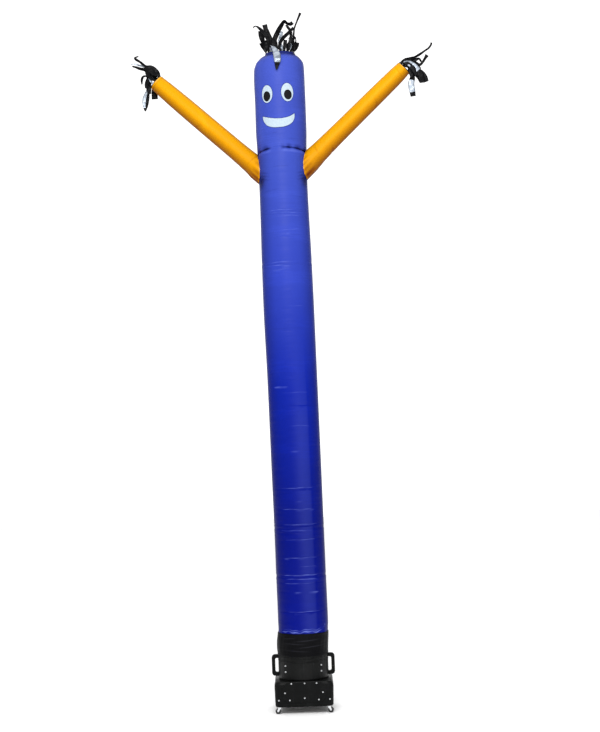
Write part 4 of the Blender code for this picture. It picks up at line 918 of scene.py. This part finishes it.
# The streamers: strips of film, black on one face and silver on the other.
streamers = {
    "thickness": 0.0008,
    "bandTall": 0.022, "bandRadius": 0.1,  # metres, for the backing band
    "spare": 0.02,  # metres of width between the strips
    "leastShare": 0.31,
    "hair": (  # root angle in degrees, then x, y, z and width in mm and the face's turn in degrees
        (-52, (-119, -80, 6042, 34, -30), (-124, -76, 6094, 38, -15), (-145, -70, 6139, 40, 0),
         (-174, -64, 6182, 38, 10), (-204, -58, 6216, 34, 20), (-233, -52, 6239, 26, 30), (-257, -48, 6237, 16, 40),
         (-268, -46, 6222, 8, 45)),
        (-84, (-168, -16, 6055, 38, -60), (-180, -12, 6108, 46, -30), (-192, -8, 6160, 52, -5),
         (-200, -6, 6209, 44, 0)),
        (-118, (-172, 60, 6050, 28, 30), (-191, 58, 6080, 26, 20), (-209, 56, 6110, 18, 10)),
        (-150, (-97, 112, 6094, 32, 25), (-108, 106, 6159, 34, 12), (-132, 100, 6213, 38, 5), (-152, 94, 6253, 44, 0),
         (-161, 90, 6292, 48, 0)),
        (-16, (-80, -116, 6023, 36, -5), (-78, -108, 6075, 44, 5), (-57, -100, 6135, 46, 15),
         (-26, -92, 6196, 44, 25), (1, -84, 6241, 40, 35), (22, -78, 6268, 38, 45), (49, -72, 6253, 34, 35),
         (79, -66, 6247, 34, 20), (99, -62, 6263, 36, 10)),
        (170, (-12, 128, 6077, 34, -8), (-26, 124, 6128, 34, 0), (-16, 120, 6183, 34, 10), (-5, 116, 6231, 30, 20)),
        (50, (91, -82, 6020, 26, 40), (100, -77, 6077, 22, 30), (105, -72, 6143, 18, 20), (113, -68, 6203, 16, 10),
         (138, -64, 6269, 16, 5), (162, -60, 6324, 22, 0), (172, -58, 6350, 26, 0)),
        (2, (-31, -128, 6013, 26, 0), (-22, -126, 6054, 30, 15), (-5, -124, 6090, 34, 25), (24, -122, 6121, 34, 25),
         (57, -120, 6150, 32, 20), (86, -118, 6180, 28, 10), (105, -116, 6202, 22, 0)),
        (115, (101, 56, 6068, 40, -62), (125, 48, 6123, 34, -72), (98, 40, 6161, 28, -84), (56, 34, 6139, 22, -88),
         (58, 30, 6091, 16, -90)),
        (82, (121, -20, 6026, 40, 55), (133, -24, 6058, 38, 30), (139, -28, 6084, 34, 15)),
        (146, (46, 108, 6081, 30, -22), (83, 102, 6138, 30, -5), (123, 96, 6167, 24, 10)),
        (-35, (-111, -142, 6021, 22, -28), (-99, -170, 6026, 26, -15), (-76, -200, 5991, 42, 0),
         (-57, -226, 5938, 62, 3), (-50, -246, 5879, 62, 5), (-56, -257, 5826, 38, 5), (-61, -262, 5783, 12, 5)),
        (34, (58, -102, 6016, 22, 10), (69, -98, 6072, 28, 5), (80, -95, 6128, 28, 0), (75, -94, 6175, 28, 0),
         (55, -94, 6209, 26, 0), (37, -94, 6232, 20, 0)),
        (18, (16, -112, 6010, 26, 5), (23, -106, 6053, 36, 0), (28, -100, 6094, 32, 0)),
        (-68, (-144, -52, 6023, 30, -20), (-147, -50, 6060, 32, 0), (-153, -48, 6093, 26, 0)),
        (-101, (-153, 26, 6043, 32, -40), (-148, 30, 6089, 36, -20), (-152, 34, 6132, 30, 0)),
        (-134, (-124, 90, 6062, 34, 10), (-126, 82, 6106, 38, 0), (-132, 74, 6150, 30, 0)),
        (-168, (-59, 130, 6073, 34, 0), (-65, 128, 6121, 36, 0), (-70, 126, 6165, 28, 0)),
        (130, (79, 86, 6058, 34, 0), (84, 82, 6099, 36, 0), (81, 78, 6140, 30, 0)),
        (66, (103, -50, 6019, 32, 10), (101, -46, 6055, 34, 0), (93, -42, 6088, 30, 0)),
    ),
    "left": (
        (95, (-1188, 122, 5897, 48, 0), (-1230, 118, 5927, 50, 10), (-1281, 112, 5944, 28, 30),
         (-1324, 108, 5981, 28, 30), (-1361, 110, 6005, 26, 15), (-1376, 112, 6025, 18, 10),
         (-1343, 114, 6039, 10, 0)),
        (0, (-1246, 196, 5888, 40, 60), (-1285, 182, 5924, 34, 30), (-1337, 166, 5935, 28, 15),
         (-1377, 156, 5949, 22, 10), (-1408, 150, 5956, 14, 5)),
        (45, (-1209, 168, 5907, 36, 40), (-1273, 160, 5946, 24, 20), (-1337, 154, 5962, 18, 5),
         (-1385, 150, 5976, 14, 5), (-1418, 148, 5976, 10, 0)),
        (180, (-1228, 72, 5823, 48, 40), (-1256, 78, 5857, 44, 20), (-1270, 84, 5890, 30, 10)),
        (232, (-1263, 102, 5836, 20, 20), (-1285, 104, 5849, 22, 20), (-1307, 106, 5841, 24, 20),
         (-1318, 108, 5813, 24, 20), (-1317, 110, 5773, 14, 20)),
        (270, (-1252, 138, 5758, 22, 60), (-1267, 134, 5716, 40, 20), (-1285, 126, 5644, 64, 5),
         (-1292, 122, 5578, 52, 0), (-1294, 120, 5523, 12, 0)),
        (318, (-1219, 196, 5791, 24, -70), (-1221, 206, 5759, 40, -40), (-1213, 210, 5713, 56, -10),
         (-1211, 210, 5652, 58, 0)),
        (122, (-1193, 100, 5865, 44, 20), (-1229, 98, 5894, 50, 15), (-1262, 98, 5909, 36, 15),
         (-1295, 100, 5923, 24, 10)),
        (68, (-1183, 146, 5900, 44, 20), (-1227, 142, 5925, 46, 10), (-1267, 138, 5933, 28, 10)),
        (22, (-1225, 188, 5882, 40, 50), (-1259, 176, 5908, 40, 20), (-1287, 172, 5929, 24, 10)),
        (250, (-1240, 112, 5810, 40, 25), (-1256, 114, 5771, 52, 10), (-1256, 116, 5727, 46, 0),
         (-1248, 118, 5682, 26, 0)),
        (206, (-1249, 88, 5823, 30, 30), (-1264, 90, 5802, 36, 15), (-1275, 92, 5769, 34, 5),
         (-1281, 94, 5732, 16, 0)),
    ),
    "right": (
        (100, (1110, -130, 5861, 36, 0), (1155, -138, 5871, 30, 15), (1201, -146, 5882, 28, 25),
         (1243, -152, 5903, 24, 20), (1289, -157, 5932, 18, 10), (1330, -160, 5959, 18, 5), (1353, -162, 5989, 18, 0),
         (1356, -163, 6009, 18, 0)),
        (150, (1128, -78, 5853, 34, -20), (1170, -84, 5861, 30, -20), (1211, -90, 5849, 26, -10),
         (1248, -94, 5823, 26, 0), (1278, -98, 5849, 24, 0), (1301, -102, 5882, 26, 0), (1320, -104, 5910, 36, 0)),
        (205, (1168, -70, 5782, 46, -30), (1210, -64, 5782, 56, -15), (1252, -62, 5760, 60, -5),
         (1289, -62, 5720, 56, 0), (1307, -62, 5671, 46, 0)),
        (55, (1123, -178, 5827, 44, 30), (1165, -194, 5804, 56, 15), (1205, -202, 5765, 60, 5),
         (1238, -204, 5720, 56, 0), (1254, -203, 5672, 52, 0), (1258, -202, 5632, 48, 0)),
        (305, (1169, -160, 5738, 26, 15), (1173, -158, 5692, 48, 0), (1160, -157, 5634, 58, 0),
         (1167, -157, 5575, 56, 0), (1174, -157, 5520, 48, 0)),
        (78, (1125, -156, 5842, 42, 20), (1170, -168, 5824, 48, 10), (1212, -176, 5795, 44, 5),
         (1245, -180, 5760, 30, 0)),
        (245, (1177, -98, 5752, 40, 0), (1212, -92, 5743, 48, 0), (1244, -90, 5708, 48, 0), (1259, -90, 5668, 42, 0)),
        (125, (1117, -104, 5862, 38, -10), (1163, -110, 5870, 36, 0), (1206, -116, 5865, 30, 0),
         (1242, -120, 5874, 24, 0), (1260, -122, 5845, 18, 0)),
        (352, (1139, -176, 5792, 36, 20), (1154, -182, 5763, 44, 10), (1161, -184, 5723, 40, 0),
         (1165, -184, 5687, 22, 0)),
        (28, (1131, -186, 5814, 36, 30), (1160, -198, 5784, 46, 15), (1190, -204, 5747, 44, 5),
         (1206, -206, 5702, 30, 0)),
    ),
    "silverOut": {  # where a strip's silver face looks to the front: low and high share of its length and width
        "hair": {
            11: (0.16, 0.80, 0.0, 1.0), 5: (0.15, 1.0, 0.0, 1.0),
            18: (0.2, 0.8, 0.0, 1.0), 16: (0.3, 0.7, 0.0, 1.0),
        },
        "left": {2: (0.25, 1.0, 0.0, 1.0), 5: (0.22, 0.86, 0.5, 1.0)},
        "right": {3: (0.12, 0.62, 0.0, 1.0), 4: (0.42, 0.84, 0.0, 1.0)},
    },
}


def smoothPath(points, count):  # an even Catmull-Rom curve through rows of numbers
    points = np.asarray(points, float)
    padded = np.vstack([2 * points[0] - points[1], points, 2 * points[-1] - points[-2]])
    rows = []
    for at in np.linspace(0.0, len(points) - 1.0001, count):
        k, t = int(at), at - int(at)
        a, b, c, d = padded[k:k + 4]
        rows.append(
            0.5 * ((2 * b) + (c - a) * t + (2 * a - 5 * b + 4 * c - d) * t**2 + (3 * b - a - 3 * c + d) * t**3)
        )
    return np.array(rows)


def stripPieces(root, rows, silverArea, seed, across=6):
    # One strip as a thin closed sheet: its points, faces, cloth map and which face is silver.
    middle, rise, wide, rising, rootWidth = root
    rows = [[v / 1000 for v in row[:4]] + [row[4]] for row in rows]
    centres = [middle, middle + rise * rising] + [Vector(row[:3]) for row in rows]
    widths, frames = [], []
    last = None
    for index in range(len(centres)):
        before, after = centres[max(index - 1, 0)], centres[min(index + 1, len(centres) - 1)]
        run = (after - before).normalized()
        if index < 2:
            flat, width = Vector(wide), rootWidth
        else:
            width, turn = rows[index - 2][3:]
            level = Vector((1.0, 0.0, 0.0)) - run * run.x
            if level.length < 0.35:
                level = Vector((0.0, 0.0, 1.0)) - run * run.z
            flat = Matrix.Rotation(math.radians(turn), 3, run) @ level.normalized()
        if last is not None and flat.dot(last) < 0.0:
            flat = -flat
        last = flat.copy()
        widths.append(width)
        frames.append(flat)
    data = [list(c) + list(f) + [w] for c, f, w in zip(centres, frames, widths)]
    path = smoothPath(data, 7 * len(centres))
    chance = random.Random(seed)
    wave = chance.uniform(0, 6.28)
    centre, flat, width = path[:, :3], path[:, 3:6], path[:, 6]
    run = np.gradient(centre, axis=0)
    run /= np.linalg.norm(run, axis=1)[:, None]
    flat = flat - run * (flat * run).sum(axis=1)[:, None]
    flat /= np.linalg.norm(flat, axis=1)[:, None]
    thin = np.cross(run, flat)
    count = len(path)
    length = np.concatenate(([0.0], np.cumsum(np.linalg.norm(np.diff(centre, axis=0), axis=1))))
    front, back, uvs = [], [], []
    for c in range(across + 1):
        side = c / across - 0.5
        cup = (0.25 - side * side) * 0.10 * width * np.minimum(1.0, length / 0.08)
        ripple = 0.0015 * np.sin(length * 70.0 + wave + side * 2.0) * np.minimum(1.0, length / 0.10)
        spots = centre + flat * (side * width)[:, None] + thin * (cup + ripple)[:, None]
        front.append(spots + thin * streamers["thickness"] / 2)
        back.append(spots - thin * streamers["thickness"] / 2)
        uvs.append(np.stack([side * width + seed * 0.37, length], axis=-1))
    columns = across + 1
    points = np.concatenate([np.stack(front, axis=1).reshape(-1, 3), np.stack(back, axis=1).reshape(-1, 3)])
    uvs = np.stack(uvs, axis=1).reshape(-1, 2)
    uvs = np.concatenate([uvs, uvs])
    shift = count * columns
    faces, slots = [], []
    for r in range(count - 1):
        for c in range(across):
            a, b = r * columns + c, r * columns + c + 1
            faces.append((a, b, b + columns, a + columns))
            slots.append(0)
            faces.append((a + shift, a + shift + columns, b + shift + columns, b + shift))
            slots.append(1)
        for a, b in ((r * columns, (r + 1) * columns), ((r + 1) * columns + across, r * columns + across)):
            faces.append((a, b, b + shift, a + shift))
            slots.append(0)
    for c in range(across):
        faces.append((c + 1, c, c + shift, c + 1 + shift))
        slots.append(0)
        a = (count - 1) * columns + c
        faces.append((a, a + 1, a + 1 + shift, a + shift))
        slots.append(0)
    # the face that looks to the front of the dancer, -Y, is black but where the silver area lies
    frontIsFirst = thin[count // 2:, 1].mean() < 0.0
    lowLong, highLong, lowWide, highWide = silverArea or (2.0, 2.0, 2.0, 2.0)
    for k, slot in enumerate(slots):
        r, c = k // (2 * across + 2), k % (2 * across + 2)
        if r >= count - 1 or c >= 2 * across:
            continue
        share, side = length[r] / length[-1], (c // 2 + 0.5) / across
        turned = lowLong <= share <= highLong and lowWide <= side <= highWide
        if turned == frontIsFirst:
            slots[k] = 1 - slot
    area = float((np.diff(length) * (width[1:] + width[:-1]) / 2).sum())
    return points, faces, uvs, slots, area, float(length[-1]), float(width.max())


def bunchObject(name, group, bandRing, rootOf, nodeName):
    points, faces, uvs, slots = [], [], [], []
    area, longest, allWide, offset = 0.0, 0.0, 0.0, 0
    for number, (angle, *rows) in enumerate(streamers[group]):
        silver = streamers["silverOut"][group].get(number)
        strip = stripPieces(rootOf(math.radians(angle)), rows, silver, number + 1)
        stripPoints, stripFaces, stripMap, stripSlots, stripArea, length, width = strip
        points.append(stripPoints)
        uvs.append(stripMap)
        faces += [tuple(i + offset for i in corners) for corners in stripFaces]
        slots += stripSlots
        offset += len(stripPoints)
        area += stripArea
        longest, allWide = max(longest, length), allWide + width
    # the band that the strips are sewn to
    bandPoints, bandFaces, bandMap = bandRing
    points.append(bandPoints)
    uvs.append(bandMap)
    faces += [tuple(i + offset for i in corners) for corners in bandFaces]
    slots += [0] * len(bandFaces)
    made = clothObject(name, np.concatenate(points), faces, np.concatenate(uvs), [blackFilm, silverFilm], slots)
    selectOnly(made)
    bpy.ops.object.mode_set(mode="EDIT")
    bpy.ops.mesh.select_all(action="SELECT")
    bpy.ops.mesh.normals_make_consistent(inside=False)
    bpy.ops.object.mode_set(mode="OBJECT")
    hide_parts(nodeName)
    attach(made, mainBody)


def ringBand(place, low, high, wall, sides=72):
    # a closed band ring: place(out, angle, inwards) gives its points
    turn = np.linspace(0.0, 2 * np.pi, sides, endpoint=False)
    corners = ((low, 0.0), (high, 0.0), (high, wall), (low, wall))
    points = np.array([[list(place(out, a, inwards)) for a in turn] for out, inwards in corners]).reshape(-1, 3)
    uvs = np.array([[a * 0.13, out] for out, inwards in corners for a in turn])
    return points, quads(4, sides, True, True), uvs


crown = {  # metres, the band that the hair is sewn to
    "x": -0.0264, "radius": 0.1360, "low": 5.954, "high": 5.986, "wall": 0.003, "rise": 0.026, "root": 0.024,
}


def crownPlace(height, angle, inwards):
    radius = crown["radius"] - inwards
    return Vector((crown["x"] + radius * math.sin(angle), -radius * math.cos(angle), height))


def crownRoot(angle):
    middle = crownPlace((crown["low"] + crown["high"]) / 2, angle, crown["wall"] / 2)
    wide = Vector((math.cos(angle), math.sin(angle), 0.0))
    return middle, Vector((0.0, 0.0, 1.0)), wide, crown["rise"], crown["root"]


crownBand = ringBand(crownPlace, crown["low"], crown["high"], crown["wall"])
bunchObject("hairStreamers", "hair", crownBand, crownRoot, "hair_streamers")
hand = {  # metres, the band inside each hand's hem
    "inwards": 0.0032, "wall": 0.003, "inside": -0.014, "outside": 0.008, "rise": 0.013, "root": 0.016,
}
for arm in ("left", "right"):
    table = arms[arm]["table"]
    start, end = Vector(table[0][:3]), Vector(table[-1][:3])
    direction = (Vector(table[-1][:3]) - Vector(table[-2][:3])).normalized()
    overall = (end - start).normalized()
    across = overall.cross(Vector((0.0, 0.0, 1.0))).normalized()
    upright = across.cross(overall).normalized()
    radius = table[-1][3] - hand["inwards"]

    def handPlace(out, angle, inwards):
        spoke = math.cos(angle) * across + math.sin(angle) * upright
        return end + direction * out + spoke * (radius - inwards)

    def handRoot(angle):
        wide = -math.sin(angle) * across + math.cos(angle) * upright
        return handPlace(0.0, angle, hand["wall"] / 2), direction, wide, hand["rise"], hand["root"]

    bunchObject(
        arm + "HandStreamers",
        arm,
        ringBand(handPlace, hand["inside"], hand["outside"], hand["wall"], 48),
        handRoot,
        "hand_streamers_" + arm,
    )
print("streamers made")

# The floor.
floorSize = 60.0  # metres
bpy.ops.object.select_all(action="DESELECT")
bpy.ops.mesh.primitive_plane_add(size=floorSize, location=(0.0, 0.0, 0.0))
floor = bpy.context.active_object
floor.name = "studioFloor"
floorPaint = startMaterial("matt white floor paint", Roughness=0.9, Base_Color=colour("FFFFFF"))[0]
floor.data.materials.append(floorPaint)
